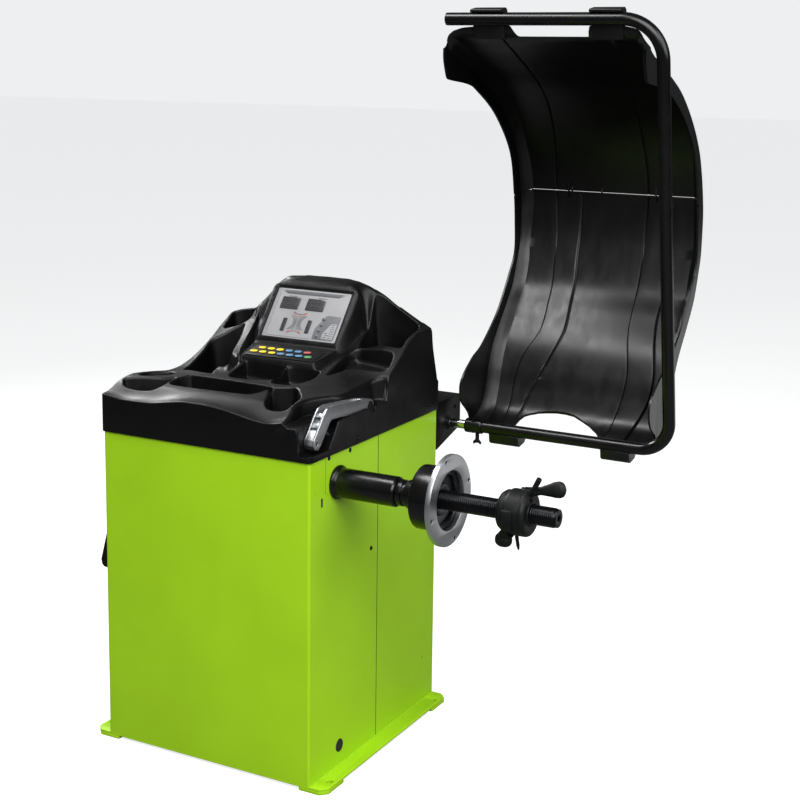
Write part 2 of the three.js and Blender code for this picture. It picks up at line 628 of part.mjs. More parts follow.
buildCabinet();
buildSpindle();
buildNut();
buildHood();
buildConsole();
buildGauge();

export default root;
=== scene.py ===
"""Wheel balancer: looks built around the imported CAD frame.

Shapes are worked out in millimetres in the CAD's own frame and scaled to metres when a piece is made.
"""
import math

import bmesh
import bpy
import numpy as np
from mathutils import Matrix, Vector
from mathutils.geometry import delaunay_2d_cdt


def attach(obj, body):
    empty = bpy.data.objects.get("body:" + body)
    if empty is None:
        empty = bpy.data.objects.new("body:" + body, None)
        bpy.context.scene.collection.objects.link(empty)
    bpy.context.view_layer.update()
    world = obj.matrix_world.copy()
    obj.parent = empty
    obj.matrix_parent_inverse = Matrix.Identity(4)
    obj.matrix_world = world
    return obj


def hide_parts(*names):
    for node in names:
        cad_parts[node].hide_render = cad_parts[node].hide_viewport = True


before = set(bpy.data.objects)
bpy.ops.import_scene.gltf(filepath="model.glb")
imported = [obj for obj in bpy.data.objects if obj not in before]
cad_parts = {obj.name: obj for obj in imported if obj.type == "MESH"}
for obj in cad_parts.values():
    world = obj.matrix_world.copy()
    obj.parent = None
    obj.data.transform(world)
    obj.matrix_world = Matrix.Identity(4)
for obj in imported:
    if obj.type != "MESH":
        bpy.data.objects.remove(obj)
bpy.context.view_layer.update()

MM = 0.001
CABINET = dict(x=241.0, y=258.0, z0=12.3, top=647.7, seam=2.15, sheet=2.0)
COVER = dict(x=245.0, y=262.0, z0=648.0)
SHAFT = dict(y=-156.0, z=589.0, r=18.0)
HINGE = dict(y=318.0, z=606.0)
LEAN = math.radians(9.43)
HOOD = dict(x0=280.0, x1=704.0, wall=4.0, seam=436.15, leg=737.0, top=870.0, tube=12.7)
GAUGE = dict(y=-30.0, z=712.0)
DISPLAY = dict(y=78.0, z=790.0, angle=math.atan2(109, 85))
KEYPAD = dict(y=5.0, z=775.0, angle=math.atan2(12, 61))
PRINT = 1.5  # height of the display's printed marks above its slope


# ---------- node materials ----------

def linear(hex_colour):
    """Linear red, green, blue of an sRGB hex colour."""
    values = [int(hex_colour[i:i + 2], 16) / 255 for i in (0, 2, 4)]
    return [v / 12.92 if v <= 0.04045 else ((v + 0.055) / 1.055) ** 2.4 for v in values]


class Look:
    """A Principled material with helpers that chain nodes onto it."""

    def __init__(self, name, colour, rough, metal=0.0, specular=0.5):
        self.material = bpy.data.materials.new(name)
        self.material.use_nodes = True
        self.tree = self.material.node_tree
        self.shader = self.tree.nodes["Principled BSDF"]
        self.base = linear(colour)
        self.rough = rough
        self.shader.inputs["Base Color"].default_value = (*self.base, 1)
        self.shader.inputs["Roughness"].default_value = rough
        self.shader.inputs["Metallic"].default_value = metal
        self.shader.inputs["Specular IOR Level"].default_value = specular
        self.place = self.add("ShaderNodeTexCoord").outputs["Object"]
        self.colour = None
        self.normal = None

    def add(self, kind, inputs=(), **attributes):
        node = self.tree.nodes.new(kind)
        for key, value in attributes.items():
            setattr(node, key, value)
        for key, value in dict(inputs).items():
            if isinstance(value, bpy.types.NodeSocket):
                self.tree.links.new(value, node.inputs[key])
            else:
                node.inputs[key].default_value = value
        return node

    def stretched(self, scale):
        return self.add("ShaderNodeMapping", {"Vector": self.place, "Scale": scale}).outputs[0]

    def noise(self, size, detail, where=None, roughness=0.5):
        """Noise whose features are about size millimetres across."""
        inputs = {"Vector": where or self.place, "Scale": 1 / (size * MM), "Detail": detail,
                  "Roughness": roughness}
        return self.add("ShaderNodeTexNoise", inputs).outputs["Fac"]

    def remap(self, value, low, high, to_low, to_high):
        inputs = {"Value": value, "From Min": low, "From Max": high, "To Min": to_low, "To Max": to_high}
        return self.add("ShaderNodeMapRange", inputs).outputs[0]

    def math(self, operation, a, b=0.0):
        return self.add("ShaderNodeMath", {0: a, 1: b}, operation=operation).outputs[0]

    def blend(self, factor, colour):
        """Mixes a linear colour over what is there, by factor."""
        under = self.colour or (*self.base, 1)
        node = self.add("ShaderNodeMix", {0: factor}, data_type="RGBA")
        for socket, value in ((node.inputs[6], under), (node.inputs[7], (*colour, 1))):
            if isinstance(value, bpy.types.NodeSocket):
                self.tree.links.new(value, socket)
            else:
                socket.default_value = value
        self.colour = node.outputs[2]
        self.tree.links.new(self.colour, self.shader.inputs["Base Color"])
        return self

    def mottle(self, size, amount):
        """Slow drift in colour, lighter and darker by amount."""
        dark = [c * (1 - amount) for c in self.base]
        light = [min(1, c * (1 + amount)) for c in self.base]
        value = self.noise(size, 4)
        self.blend(self.remap(value, 0.5, 0.3, 0, 1), dark)
        return self.blend(self.remap(value, 0.5, 0.7, 0, 1), light)

    def uneven(self, size, spread, where=None):
        """Roughness that wanders by spread either way."""
        value = self.noise(size, 5, where)
        wandering = self.remap(value, 0.3, 0.7, self.rough - spread, self.rough + spread)
        self.tree.links.new(wandering, self.shader.inputs["Roughness"])
        return self

    def bump(self, size, depth, where=None, detail=3.0, height=None):
        """Relief of depth millimetres in features of size millimetres."""
        value = height or self.noise(size, detail, where)
        inputs = {"Height": value, "Distance": depth * MM, "Strength": 1.0}
        if self.normal:
            inputs["Normal"] = self.normal
        self.normal = self.add("ShaderNodeBump", inputs).outputs[0]
        self.tree.links.new(self.normal, self.shader.inputs["Normal"])
        return self

    def worn(self, colour, edge, breakup):
        """Bare colour where edges are sharp, broken up by noise."""
        sharp = self.add("ShaderNodeNewGeometry").outputs["Pointiness"]
        mask = self.math("MULTIPLY", self.remap(sharp, edge, edge + 0.08, 0, 1),
                         self.remap(self.noise(breakup, 5), 0.45, 0.62, 0, 1))
        return self.blend(mask, linear(colour))

    def speckle(self, size, colour, share, amount):
        """Scattered flecks of another colour."""
        value = self.noise(size, 2)
        return self.blend(self.remap(value, 1 - share, 1 - share + 0.08, 0, amount), linear(colour))


def turned(look, pitch, depth):
    """Concentric tool marks about the shaft's axis."""
    split = look.add("ShaderNodeSeparateXYZ", {0: look.place})
    away = [look.math("SUBTRACT", split.outputs[k], SHAFT[axis] * MM) for k, axis in ((1, "y"), (2, "z"))]
    squares = look.math("ADD", *(look.math("MULTIPLY", d, d) for d in away))
    radius = look.math("SQRT", squares)
    where = look.add("ShaderNodeCombineXYZ", {0: radius, 1: split.outputs[0]}).outputs[0]
    fine = look.noise(pitch, 4, where, 0.7)
    look.bump(pitch, depth, height=fine)
    spread = look.remap(fine, 0.3, 0.7, look.rough - 0.07, look.rough + 0.07)
    look.tree.links.new(spread, look.shader.inputs["Roughness"])
    return look


POWDER = ((170, 0.05), (45, 0.05), (2.6, 0.035))
FILM = (0.6, 0.012)
KEY = ((9, 0.06), (5, 0.05), (0.5, 0.014))
# Name, colour, roughness, metal and specular level, then size in mm and amount of the mottle, of the drift
# in roughness and of the relief.
FINISHES_AND_PAINTED_SHADE = [
    ("green", "96C51A", 0.42, 0, 0.22, *POWDER),
    ("black_paint", "040405", 0.26, 0, 0.36, *POWDER),
    ("bracket_paint", "050506", 0.42, 0, 0.12, *POWDER),
    ("black_plastic", "050506", 0.4, 0, 0.22, (90, 0.2), (30, 0.06), (1.1, 0.05, None, 2.0)),
    ("hood_plastic", "040405", 0.34, 0, 0.38, (120, 0.2)),
    ("nut_plastic", "08090A", 0.5, 0, 0.22, (30, 0.15), (12, 0.06), (0.7, 0.07)),
    ("steel", "A9ACB0", 0.3, 1, 0.5, (25, 0.06)),
    ("flange_steel", "B9BBBE", 0.36, 1, 0.5, (30, 0.05)),
    ("shaft_steel", "1E1F21", 0.26, 0.85, 0.5, (16, 0.25)),
    ("chrome", "D2D4D8", 0.1, 1, 0.5, (20, 0.04), (14, 0.04), (6, 0.01)),
    ("aluminium", "A6A8AB", 0.38, 1, 0.5, (22, 0.08), (9, 0.07)),
    ("overlay", "808082", 0.44, 0, 0.3, (40, 0.04), (18, 0.05), FILM),
    ("overlay_grey", "535457", 0.42, 0, 0.3, (25, 0.05), (12, 0.04), FILM),
    ("overlay_dark", "3E3F43", 0.38, 0, 0.5, (25, 0.05), (12, 0.04), FILM),
    ("overlay_red", "9A3A3A", 0.38, 0, 0.5, (20, 0.06), (12, 0.04), FILM),
    ("keypad", "0B0B0C", 0.42, 0, 0.2, (30, 0.1), (14, 0.05), (0.6, 0.014)),
    ("window", "343538", 0.14, 0, 0.35, (30, 0.08), (20, 0.03)),
    ("segment", "2A2425", 0.25, 0, 0.5, (10, 0.1), (8, 0.04)),
    ("key_yellow", "CBAE10", 0.42, 0, 0.5, *KEY),
    ("key_blue", "456F92", 0.42, 0, 0.5, *KEY),
    ("key_red", "9C4643", 0.42, 0, 0.5, *KEY),
    ("key_green", "47804C", 0.42, 0, 0.5, *KEY),
    ("rubber", "0D0D0D", 0.72, 0, 0.5, (20, 0.25), (8, 0.08), (0.5, 0.06)),
    ("screw", "121214", 0.34, 0.7, 0.5, (4, 0.3), (3, 0.1), (0.5, 0.03)),
    # dark is painted shade, not a finish: it fills the seams, small holes, louvre gaps and flange bores.
    ("dark", "050505", 0.7, 0, 0.5, (8, 0.3), None, (0.6, 0.03)),
    ("board", "16502C", 0.42, 0, 0.5, (14, 0.12), (7, 0.08), (3, 0.05)),
    ("cast", "4A4D50", 0.55, 0.5, 0.5, (12, 0.15), (6, 0.08), (1.8, 0.2, None, 4.0)),
    ("brass", "9A7B3A", 0.3, 1, 0.5, (6, 0.1), (4, 0.06)),
]


def make_looks():
    """Every finish on the machine, and the painted shade, by name."""
    looks = {}
    for name, colour, rough, metal, specular, *drifts in FINISHES_AND_PAINTED_SHADE:
        look = looks[name] = Look(name, colour, rough, metal, specular)
        for change, amounts in zip((look.mottle, look.uneven, look.bump), drifts):
            if amounts:
                change(*amounts)
    looks["green"].bump(150, 0.5, detail=1.0)
    looks["black_plastic"].speckle(70, "17181A", 0.34, 0.5)
    looks["nut_plastic"].speckle(9, "16171A", 0.36, 0.6)
    looks["board"].speckle(4, "7E8C52", 0.36, 0.8)
    hood, steel, alu, flange = (looks[n] for n in ("hood_plastic", "steel", "aluminium", "flange_steel"))
    hood.uneven(60, 0.05, hood.stretched((2.5, 2.5, 0.5))).bump(160, 1.1, detail=1.0).bump(0.9, 0.02)
    for look, amount in ((steel, 0.4), (alu, 0.3), (flange, 0.3)):
        look.shader.inputs["Anisotropic"].default_value = amount
    steel.bump(0.6, 0.02, steel.stretched((0.15, 1, 1)))
    alu.bump(0.9, 0.03, alu.stretched((1.0, 0.12, 0.3))).speckle(6, "8D8F92", 0.33, 0.35)
    turned(flange, 0.55, 0.016)
    turned(looks["shaft_steel"], 0.8, 0.01).worn("6B6D70", 0.58, 5)
    return {name: look.material for name, look in looks.items()}


LOOKS = make_looks()


# ---------- mesh parts: a part is (vertices in mm, faces) ----------

def part(verts, faces):
    """Part from any lists of vertices and faces."""
    return np.asarray(verts, float).reshape(-1, 3), [tuple(int(i) for i in f) for f in faces]


def joined(*parts):
    """One part from several."""
    verts, faces, start = [], [], 0
    for v, f in parts:
        verts.append(v)
        faces += [tuple(i + start for i in face) for face in f]
        start += len(v)
    return np.vstack(verts), faces


def moved(p, matrix):
    """Part put through a matrix."""
    m = np.array(matrix, float)
    return p[0] @ m[:3, :3].T + m[:3, 3], p[1]


def shifted(p, x=0.0, y=0.0, z=0.0):
    return p[0] + np.array([x, y, z]), p[1]


def turn_x(p, degrees, y, z):
    """Turns a part about the X line through y, z, from +Y towards +Z."""
    m = Matrix.Translation((0, y, z)) @ Matrix.Rotation(math.radians(degrees), 4, "X")
    return moved(p, m @ Matrix.Translation((0, -y, -z)))


def fillet(points, radius, steps=4, closed=True):
    """Rounds the corners of a flat outline. radius is one number or one for each corner."""
    pts = [np.array(p, float) for p in points]
    n = len(pts)
    radii = [radius] * n if np.isscalar(radius) else list(radius)
    out = []
    for i, p in enumerate(pts):
        if (not closed and i in (0, n - 1)) or radii[i] <= 0:
            out.append(p)
            continue
        a, b = pts[i - 1] - p, pts[(i + 1) % n] - p
        la, lb = np.linalg.norm(a), np.linalg.norm(b)
        a, b = a / la, b / lb
        half = math.acos(max(-1.0, min(1.0, float(a @ b)))) / 2
        if half > 1.55 or half < 0.02:
            out.append(p)
            continue
        reach = min(radii[i] / math.tan(half), 0.45 * la, 0.45 * lb)
        r = reach * math.tan(half)
        centre = p + (a + b) / np.linalg.norm(a + b) * (r / math.sin(half))
        start, end = p + a * reach - centre, p + b * reach - centre
        sweep = math.atan2(start[0] * end[1] - start[1] * end[0], float(start @ end))
        for k in range(steps + 1):
            t = sweep * k / steps
            c, s = math.cos(t), math.sin(t)
            out.append(centre + np.array([c * start[0] - s * start[1], s * start[0] + c * start[1]]))
    return np.array(out)


def spline(points, pitch, closed=False):
    """Catmull-Rom curve through the points, resampled at about pitch."""
    p = np.array(points, float)
    n = len(p)
    fine = []
    for i in range(n if closed else n - 1):
        if closed:
            q = [p[(i + k) % n] for k in (-1, 0, 1, 2)]
        else:
            q = [p[min(n - 1, max(0, i + k))] for k in (-1, 0, 1, 2)]
        for t in np.linspace(0, 1, 12, endpoint=False):
            fine.append(0.5 * (2 * q[1] + (q[2] - q[0]) * t + (2 * q[0] - 5 * q[1] + 4 * q[2] - q[3]) * t**2
                               + (3 * q[1] - q[0] - 3 * q[2] + q[3]) * t**3))
    fine.append(p[0] if closed else p[-1])
    fine = np.array(fine)
    length = float(np.linalg.norm(np.diff(fine, axis=0), axis=1).cumsum()[-1])
    out = resampled(fine, max(3, int(round(length / pitch))) + 1)
    return out[:-1] if closed else out


def resampled(line, count):
    """Points at equal run along a line."""
    run = np.r_[0, np.cumsum(np.linalg.norm(np.diff(line, axis=0), axis=1))]
    at = np.linspace(0, run[-1], count)
    return np.stack([np.interp(at, run, line[:, k]) for k in range(line.shape[1])], 1)


def loft(rings, closed=True, caps=True):
    """Skin over rings of equal length. closed joins each ring's end to its start."""
    rings = [np.asarray(r, float) for r in rings]
    n, m = len(rings), len(rings[0])
    verts = np.vstack(rings)
    faces = []
    for i in range(n - 1):
        for k in range(m if closed else m - 1):
            a, b = i * m + k, i * m + (k + 1) % m
            faces.append((a, b, b + m, a + m))
    if caps and closed:
        faces.append(tuple(range(m - 1, -1, -1)))
        faces.append(tuple((n - 1) * m + k for k in range(m)))
    return part(verts, faces)


def lathe(profile, y, z, seg):
    """Turns a closed or axis-ended profile of [x, radius] pairs about the X line through y, z."""
    t = np.linspace(0, 2 * math.pi, seg, endpoint=False)
    rings = [np.stack([np.full(seg, x), y + r * np.cos(t), z + r * np.sin(t)], 1) for x, r in profile]
    ends_open = profile[0][1] < 1e-6 or profile[-1][1] < 1e-6
    if not ends_open:
        rings.append(rings[0])
    return welded(loft(rings, True, False))


def welded(p, gap=1e-4):
    """Merges vertices at the same place and drops faces that close up."""
    keys = np.round(p[0] / gap).astype(np.int64)
    unique, inverse = np.unique(keys, axis=0, return_inverse=True)
    inverse = inverse.ravel()
    verts = np.zeros((len(unique), 3))
    verts[inverse] = p[0]
    faces = []
    for f in p[1]:
        g = [int(inverse[i]) for i in f]
        g = [a for k, a in enumerate(g) if a != g[k - 1]]
        if len(g) > 2:
            faces.append(tuple(g))
    return verts, faces


def from_bmesh(bm):
    """Part from a bmesh, which is freed."""
    bm.verts.index_update()
    verts = np.array([v.co for v in bm.verts], float).reshape(-1, 3)
    faces = [tuple(v.index for v in f.verts) for f in bm.faces]
    bm.free()
    return verts, faces


def block(lo, hi, radius, steps=3):
    """Box with rounded edges."""
    lo, hi = Vector(lo), Vector(hi)
    bm = bmesh.new()
    bmesh.ops.create_cube(bm, size=1.0)
    span = hi - lo
    for v in bm.verts:
        v.co = Vector((lo[k] + (v.co[k] + 0.5) * span[k] for k in range(3)))
    radius = min(radius, 0.49 * min(span))
    bmesh.ops.bevel(bm, geom=bm.edges[:], offset=radius, segments=steps, profile=0.5, affect="EDGES")
    return from_bmesh(bm)


def plate(outlines, depth, bevel, steps=2):
    """Flat sheet from one outer outline and its holes, in X and Y, between z 0 and depth."""
    curve = bpy.data.curves.new("plate", "CURVE")
    curve.dimensions = "2D"
    curve.fill_mode = "BOTH"
    bevel = min(bevel, depth * 0.49)
    curve.extrude = depth / 2 - bevel
    curve.bevel_depth = bevel
    curve.bevel_resolution = steps - 1
    curve.offset = -bevel
    for points in outlines:
        line = curve.splines.new("POLY")
        line.points.add(len(points) - 1)
        for target, source in zip(line.points, points):
            target.co = (source[0], source[1], 0, 1)
        line.use_cyclic_u = True
    holder = bpy.data.objects.new("plate", curve)
    bpy.context.scene.collection.objects.link(holder)
    dg = bpy.context.evaluated_depsgraph_get()
    mesh = bpy.data.meshes.new_from_object(holder.evaluated_get(dg))
    verts = np.array([v.co for v in mesh.vertices], float).reshape(-1, 3) + [0, 0, depth / 2]
    faces = [tuple(f.vertices) for f in mesh.polygons]
    bpy.data.objects.remove(holder)
    bpy.data.meshes.remove(mesh)
    bpy.data.curves.remove(curve)
    return welded((verts, faces))


def circle(x, y, r, n=24):
    """Outline of a round hole or disc."""
    t = np.linspace(0, 2 * math.pi, n, endpoint=False)
    return np.stack([x + r * np.cos(t), y + r * np.sin(t)], 1)


def plate_yz(outlines, x0, x1, bevel, steps=2):
    """Sheet whose outline is in Y, Z, between two X."""
    v, f = plate(outlines, x1 - x0, bevel, steps)
    return np.stack([v[:, 2] + x0, v[:, 0], v[:, 1]], 1), f


def plate_xz(outlines, y0, y1, bevel, steps=2):
    """Sheet whose outline is in X, Z, between two Y."""
    v, f = plate(outlines, y1 - y0, bevel, steps)
    return np.stack([v[:, 0], y1 - v[:, 2], v[:, 1]], 1), f


def sweep(path, widths, heights=None, side=None, seg=20, power=2.0, caps=True):
    """Superellipse section carried along a path. side is the direction of the widths."""
    path = np.array(path, float)
    n = len(path)
    widths = np.broadcast_to(np.asarray(widths, float), (n,))
    heights = widths if heights is None else np.broadcast_to(np.asarray(heights, float), (n,))
    t = np.linspace(0, 2 * math.pi, seg, endpoint=False)
    c = np.sign(np.cos(t)) * np.abs(np.cos(t)) ** (2 / power)
    s = np.sign(np.sin(t)) * np.abs(np.sin(t)) ** (2 / power)
    rings = []
    reference = None if side is None else np.array(side, float)
    for i in range(n):
        along = path[min(n - 1, i + 1)] - path[max(0, i - 1)]
        along /= np.linalg.norm(along)
        if reference is None:
            reference = np.cross(along, [0, 0, 1] if abs(along[2]) < 0.9 else [0, 1, 0])
        across = reference - along * (reference @ along)
        across /= np.linalg.norm(across)
        if side is None:
            reference = across
        up = np.cross(along, across)
        rings.append(path[i] + np.outer(c * widths[i], across) + np.outer(s * heights[i], up))
    return loft(rings, True, caps)


def rod(a, b, radius, edge, seg=28):
    """Straight round bar between two points with its end edges rounded."""
    a, b = np.array(a, float), np.array(b, float)
    length = np.linalg.norm(b - a)
    t = np.linspace(0, math.pi / 2, 4)
    at = edge * (1 - np.sin(t[::-1]))
    width = radius - edge * (1 - np.cos(t[::-1]))
    at = np.r_[at, length - at[::-1]]
    width = np.r_[width, width[::-1]]
    return sweep(a + np.outer(at / length, b - a), width, seg=seg)


def blob(centre, axes, power, seg):
    """Superellipsoid whose half axes are three vectors."""
    u = np.linspace(-math.pi / 2, math.pi / 2, seg // 2 + 1)
    w = np.linspace(0, 2 * math.pi, seg, endpoint=False)

    def lift(v):
        return np.sign(v) * np.abs(v) ** (2 / power)

    a, b, c = (np.array(v, float) for v in axes)
    rings = [np.array(centre, float) + np.outer(lift(np.cos(w)) * lift(np.cos(k)), a)
             + np.outer(lift(np.sin(w)) * lift(np.cos(k)), b) + lift(np.sin(k)) * c for k in u]
    return welded(loft(rings, True, False), 1e-3)


# Slots of the looks that are not named after theirs.
SLOTS = {"hood_plastic": "black_plastic", "nut_plastic": "black_plastic", "bracket_paint": "black_paint",
         "flange_steel": "steel", "shaft_steel": "steel", "brass": "steel", "overlay_grey": "overlay",
         "overlay_dark": "overlay", "overlay_red": "overlay", "keypad": "overlay", "segment": "window",
         "dark": None, "screw": None}


def piece(name, body, look, *parts, node=None, slot="", sharp=32, normals=None):
    """Makes one shown object from mesh parts. It rides on its body and may stand for a CAD node."""
    verts, faces = joined(*parts)
    mesh = bpy.data.meshes.new(name)
    mesh.from_pydata((verts * MM).tolist(), [], faces)
    mesh.validate()
    if normals is None:
        bm = bmesh.new()
        bm.from_mesh(mesh)
        bmesh.ops.recalc_face_normals(bm, faces=bm.faces[:])
        bm.to_mesh(mesh)
        bm.free()
        mesh.shade_smooth()
        mesh.set_sharp_from_angle(angle=math.radians(sharp))
    else:
        mesh.shade_smooth()
        mesh.normals_split_custom_set_from_vertices(normals)
    mesh.materials.append(LOOKS[look])
    obj = bpy.data.objects.new(name, mesh)
    bpy.context.scene.collection.objects.link(obj)
    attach(obj, body)
    if node:
        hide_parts(node)
    slot = SLOTS.get(look, look) if slot == "" else slot


def dress(node, look):
    """Keeps a CAD node's shape, with softened edges and a better material."""
    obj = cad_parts[node]
    obj.data.materials.clear()
    obj.data.materials.append(LOOKS[look])
    soften = obj.modifiers.new("soften", "BEVEL")
    soften.width = 0.6 * MM
    soften.segments = 2
    soften.limit_method = "ANGLE"
    soften.harden_normals = False


def on_slope(slope, x, s, off):
    """World place of a point at x, s up a slope and off above it."""
    c, k = math.cos(slope["angle"]), math.sin(slope["angle"])
    return np.stack([x, slope["y"] + s * c - off * k, slope["z"] + s * k + off * c], -1)


def slope_plate(slope, outlines, off, thick, bevel):
    """Thin plate lying on a slope; outlines are in x and distance up the slope."""
    v, f = plate(outlines, thick, bevel)
    return on_slope(slope, v[:, 0], v[:, 1], v[:, 2] + off), f


def rect(x0, x1, y0, y1, r=0.0, steps=4):
    """Outline of a rectangle with rounded corners."""
    pts = [[x0, y0], [x1, y0], [x1, y1], [x0, y1]]
    return fillet(pts, r, steps) if r > 0 else np.array(pts, float)


# ---------- console cover ----------

def smooth_table(points, blur):
    """Function that follows [place, value] pairs with its corners eased over blur millimetres."""
    at = np.arange(points[0][0] - 80.0, points[-1][0] + 80.0, 0.5)
    value = np.interp(at, [p[0] for p in points], [p[1] for p in points])
    reach = int(blur * 6)
    kernel = np.exp(-0.5 * (np.arange(-reach, reach + 1) / (blur * 2)) ** 2)
    value = np.convolve(np.pad(value, reach, mode="edge"), kernel / kernel.sum(), "valid")
    return lambda q: np.interp(q, at, value)


def ease(a, b, t):
    """Smooth step from 0 at a to 1 at b."""
    u = np.clip((t - a) / (b - a), 0, 1)
    return u * u * (3 - 2 * u)


LEFT_EDGE = smooth_table([[-262, 722], [-230, 734], [-190, 745], [-160, 748], [-100, 741], [-40, 732],
                          [0, 734], [40, 744], [80, 760], [120, 780], [160, 805], [200, 821], [262, 824]], 9)
MIDDLE = smooth_table([[-262, 728], [-195, 743], [-100, 747], [0, 762], [60, 775], [110, 790], [200, 840],
                       [262, 860]], 9)
RIGHT_EDGE = smooth_table([[-262, 712], [-200, 735], [-160, 742], [-100, 742], [0, 748], [24, 750], [60, 774],
                           [103, 802], [132, 818], [167, 830], [222, 826], [262, 814]], 9)
FRONT_EDGE = smooth_table([[-245, 726], [-195, 718], [-122, 720], [-50, 732], [10, 732], [55, 728],
                           [123, 715], [157, 713], [190, 722], [245, 722]], 12)
HOUSING = smooth_table([[0, 762], [5, 775], [66, 787], [78, 790], [163, 899], [174, 910], [190, 917],
                        [222, 919], [262, 915]], 2.6)
HALF_WIDTH = smooth_table([[0, 87], [5, 87], [78, 97], [135, 104], [160, 104], [174, 99], [186, 89],
                           [262, 84]], 4)
REAR = smooth_table([[-245, 822], [-235, 826], [-212, 830], [-191, 834], [-179, 841], [-167, 851],
                     [-140, 878], [-118, 903], [-99, 914], [-47, 918], [0, 919], [46, 918], [73, 915],
                     [100, 907], [137, 890], [164, 872], [200, 852], [226, 838], [245, 828]], 4)
LEAN_REAR = smooth_table([[200, 1000], [212, 925], [221, 838], [227, 792], [251, 713], [262, 711]], 1.0)
WING = [[-93, 0, 782], [-112, 50, 795], [-131, 100, 807], [-151, 150, 820], [-171, 200, 840],
        [-180, 230, 842]]
# Floor, rim radius, foot radius, wall draft and outline of each recess.
POCKETS = [
    (702, 4, 9, 5, [[-229, -207], [-234, -193], [-214, -182], [-172, -163], [-152, -140], [-144, -165],
                    [-139, -205], [-158, -221], [-208, -221]]),
    (715, 4, 7, 4, [[-230, -152], [-235, -125], [-230, -101], [-210, -80], [-188, -90], [-180, -121],
                    [-196, -148], [-215, -165]]),
    (700, 5, 12, 6, [[-207, -32], [-224, 24], [-231, 76], [-234, 107], [-220, 124], [-187, 155], [-175, 138],
                     [-139, 44], [-96, 3], [-78, -39], [-80, -70], [-106, -82], [-146, -75]]),
    (765, 4, 8, 5, [[-226, 146], [-233, 168], [-234, 198], [-208, 207], [-180, 205],
                    [-176, 185], [-190, 160]]),
    (706, 3.5, 8, 4, [[-132, -182], [-141, -148], [-138, -114], [-124, -108], [-40, -109], [57, -114],
                      [68, -122], [68, -140], [57, -179], [14, -186], [-103, -190]]),
    (727, 3, 7, 3, [[-68, -40], [-71, -8], [-62, 0], [20, -1], [28, -8], [40, -57], [33, -79], [6, -87],
                    [-38, -91], [-60, -80]]),
    (727, 3, 7, 3, [[50, -91], [39, -52], [33, -14], [42, -2], [96, -1], [112, -12], [116, -45], [105, -76],
                    [94, -89]]),
    (672, 4, 12, 6, [[67, -124], [82, -111], [112, -102], [134, -124], [158, -159], [166, -205], [157, -220],
                     [126, -222], [110, -206], [92, -171]]),
    (745, 4, 10, 6, [[132, -14], [150, 24], [168, 40], [222, 49], [231, 62], [225, 88], [210, 98], [174, 105],
                     [128, 106], [122, 60]]),
    (758, 4, 12, 9, [[130, 120], [178, 120], [228, 110], [231, 130], [229, 190], [206, 206], [132, 207],
                     [122, 180]]),
]
TROUGH = [[192, -290], [181, -228], [176, -196], [177, -166], [188, -136], [200, -115], [214, -92], [216, 0],
          [220, 22], [232, 33], [270, 35], [270, -290]]
CHANNEL = [[216.5, -290], [216.5, 4], [241, 4], [241, -290]]
LEFT_TRAY_FLOOR, RIGHT_POCKET_FLOOR, TROUGH_FLOOR = 700, 745, 710
HOUSING_MIDDLE = -2.0
BROW_ROUND = 42.0  # distance inside the housing's side over which its brow rounds down
DISPLAY_FRAME = (-93.5, 89.5, 12.0, 134.0)  # low and high X, then low and high along the slope
ARM_SIDE, WALL_LOW = 214, 661
EDGE_R = 3.5
CORNER_R = 9.0


def distance(points, line):
    """Signed distance from points to a closed line, negative inside."""
    a, b = line, np.roll(line, -1, axis=0)
    d = b - a
    best = np.full(len(points), 1e9)
    inside = np.zeros(len(points), bool)
    x, y = points[:, 0], points[:, 1]
    for (ax, ay), (_, by), (dx, dy) in zip(a, b, d):
        t = np.clip(((x - ax) * dx + (y - ay) * dy) / max(dx * dx + dy * dy, 1e-12), 0, 1)
        np.minimum(best, (x - ax - t * dx) ** 2 + (y - ay - t * dy) ** 2, out=best)
        crosses = (ay > y) != (by > y)
        if dy:
            inside ^= crosses & (x < ax + (y - ay) * dx / dy)
    return np.where(inside, -1, 1) * np.sqrt(best)


def carve(top, s, floor, rim, foot, draft):
    """Height where a recess with rounded rim and foot is cut; s is the distance outside its wall."""
    u = np.clip(rim - s, 0, rim)
    edge = top - (rim - np.sqrt(rim * rim - u * u))
    v = np.clip(draft + foot + s, 0, foot)
    low = floor + foot - np.sqrt(foot * foot - v * v)
    k = np.clip(-s / draft, 0, 1)
    inside = np.where(-s < draft, edge * (1 - k) + low * k, low)
    return np.where(s > 0, edge, np.minimum(inside, edge))


def ridge(x, y, z, line, width):
    """Raises a soft ridge along a line of x, y, z points that runs towards the back."""
    line = np.array(line, float)
    rx = np.interp(y, line[:, 1], line[:, 0])
    rz = np.interp(y, line[:, 1], line[:, 2])
    fade = ease(line[0, 1] - 12, line[0, 1], y)
    crest = rz - 15 * (np.abs(x - rx) / width) ** 1.7
    lift = np.maximum(crest - z, 0)
    return z + fade * (np.sqrt(lift * lift + 4) - 2)


def beside_housing(x, y):
    """Distance outside the side of the display housing."""
    return np.abs(x - HOUSING_MIDDLE) - HALF_WIDTH(y)


def side_run(y):
    """Width over which the housing's side comes down."""
    return 13 + 12 * ease(120, 200, y)


def cover_base(x, y):
    """Height of the cover before its recesses are cut."""
    a = ease(-240, -110, x)
    b = ease(120, 240, x)
    z = (LEFT_EDGE(y) * (1 - a) + MIDDLE(y) * a) * (1 - b) + RIGHT_EDGE(y) * b
    k = ease(-262, -205, y)
    z = FRONT_EDGE(x) * (1 - k) + z * k
    z = ridge(x, y, z, WING, 8)
    out = beside_housing(x, y)
    k = (1 - ease(0, side_run(y), out)) * ease(-6, 3, y)
    t = np.clip((out + BROW_ROUND) / BROW_ROUND, 0, 1)
    top = HOUSING(y) - 24 * ease(158, 182, y) * (1 - np.sqrt(1 - 0.98 * t * t))
    z = np.maximum(z, z * (1 - k) + top * k)
    k = ease(168, 206, y)
    z = np.maximum(z, z * (1 - k) + REAR(x) * k)
    return np.minimum(z, LEAN_REAR(y))


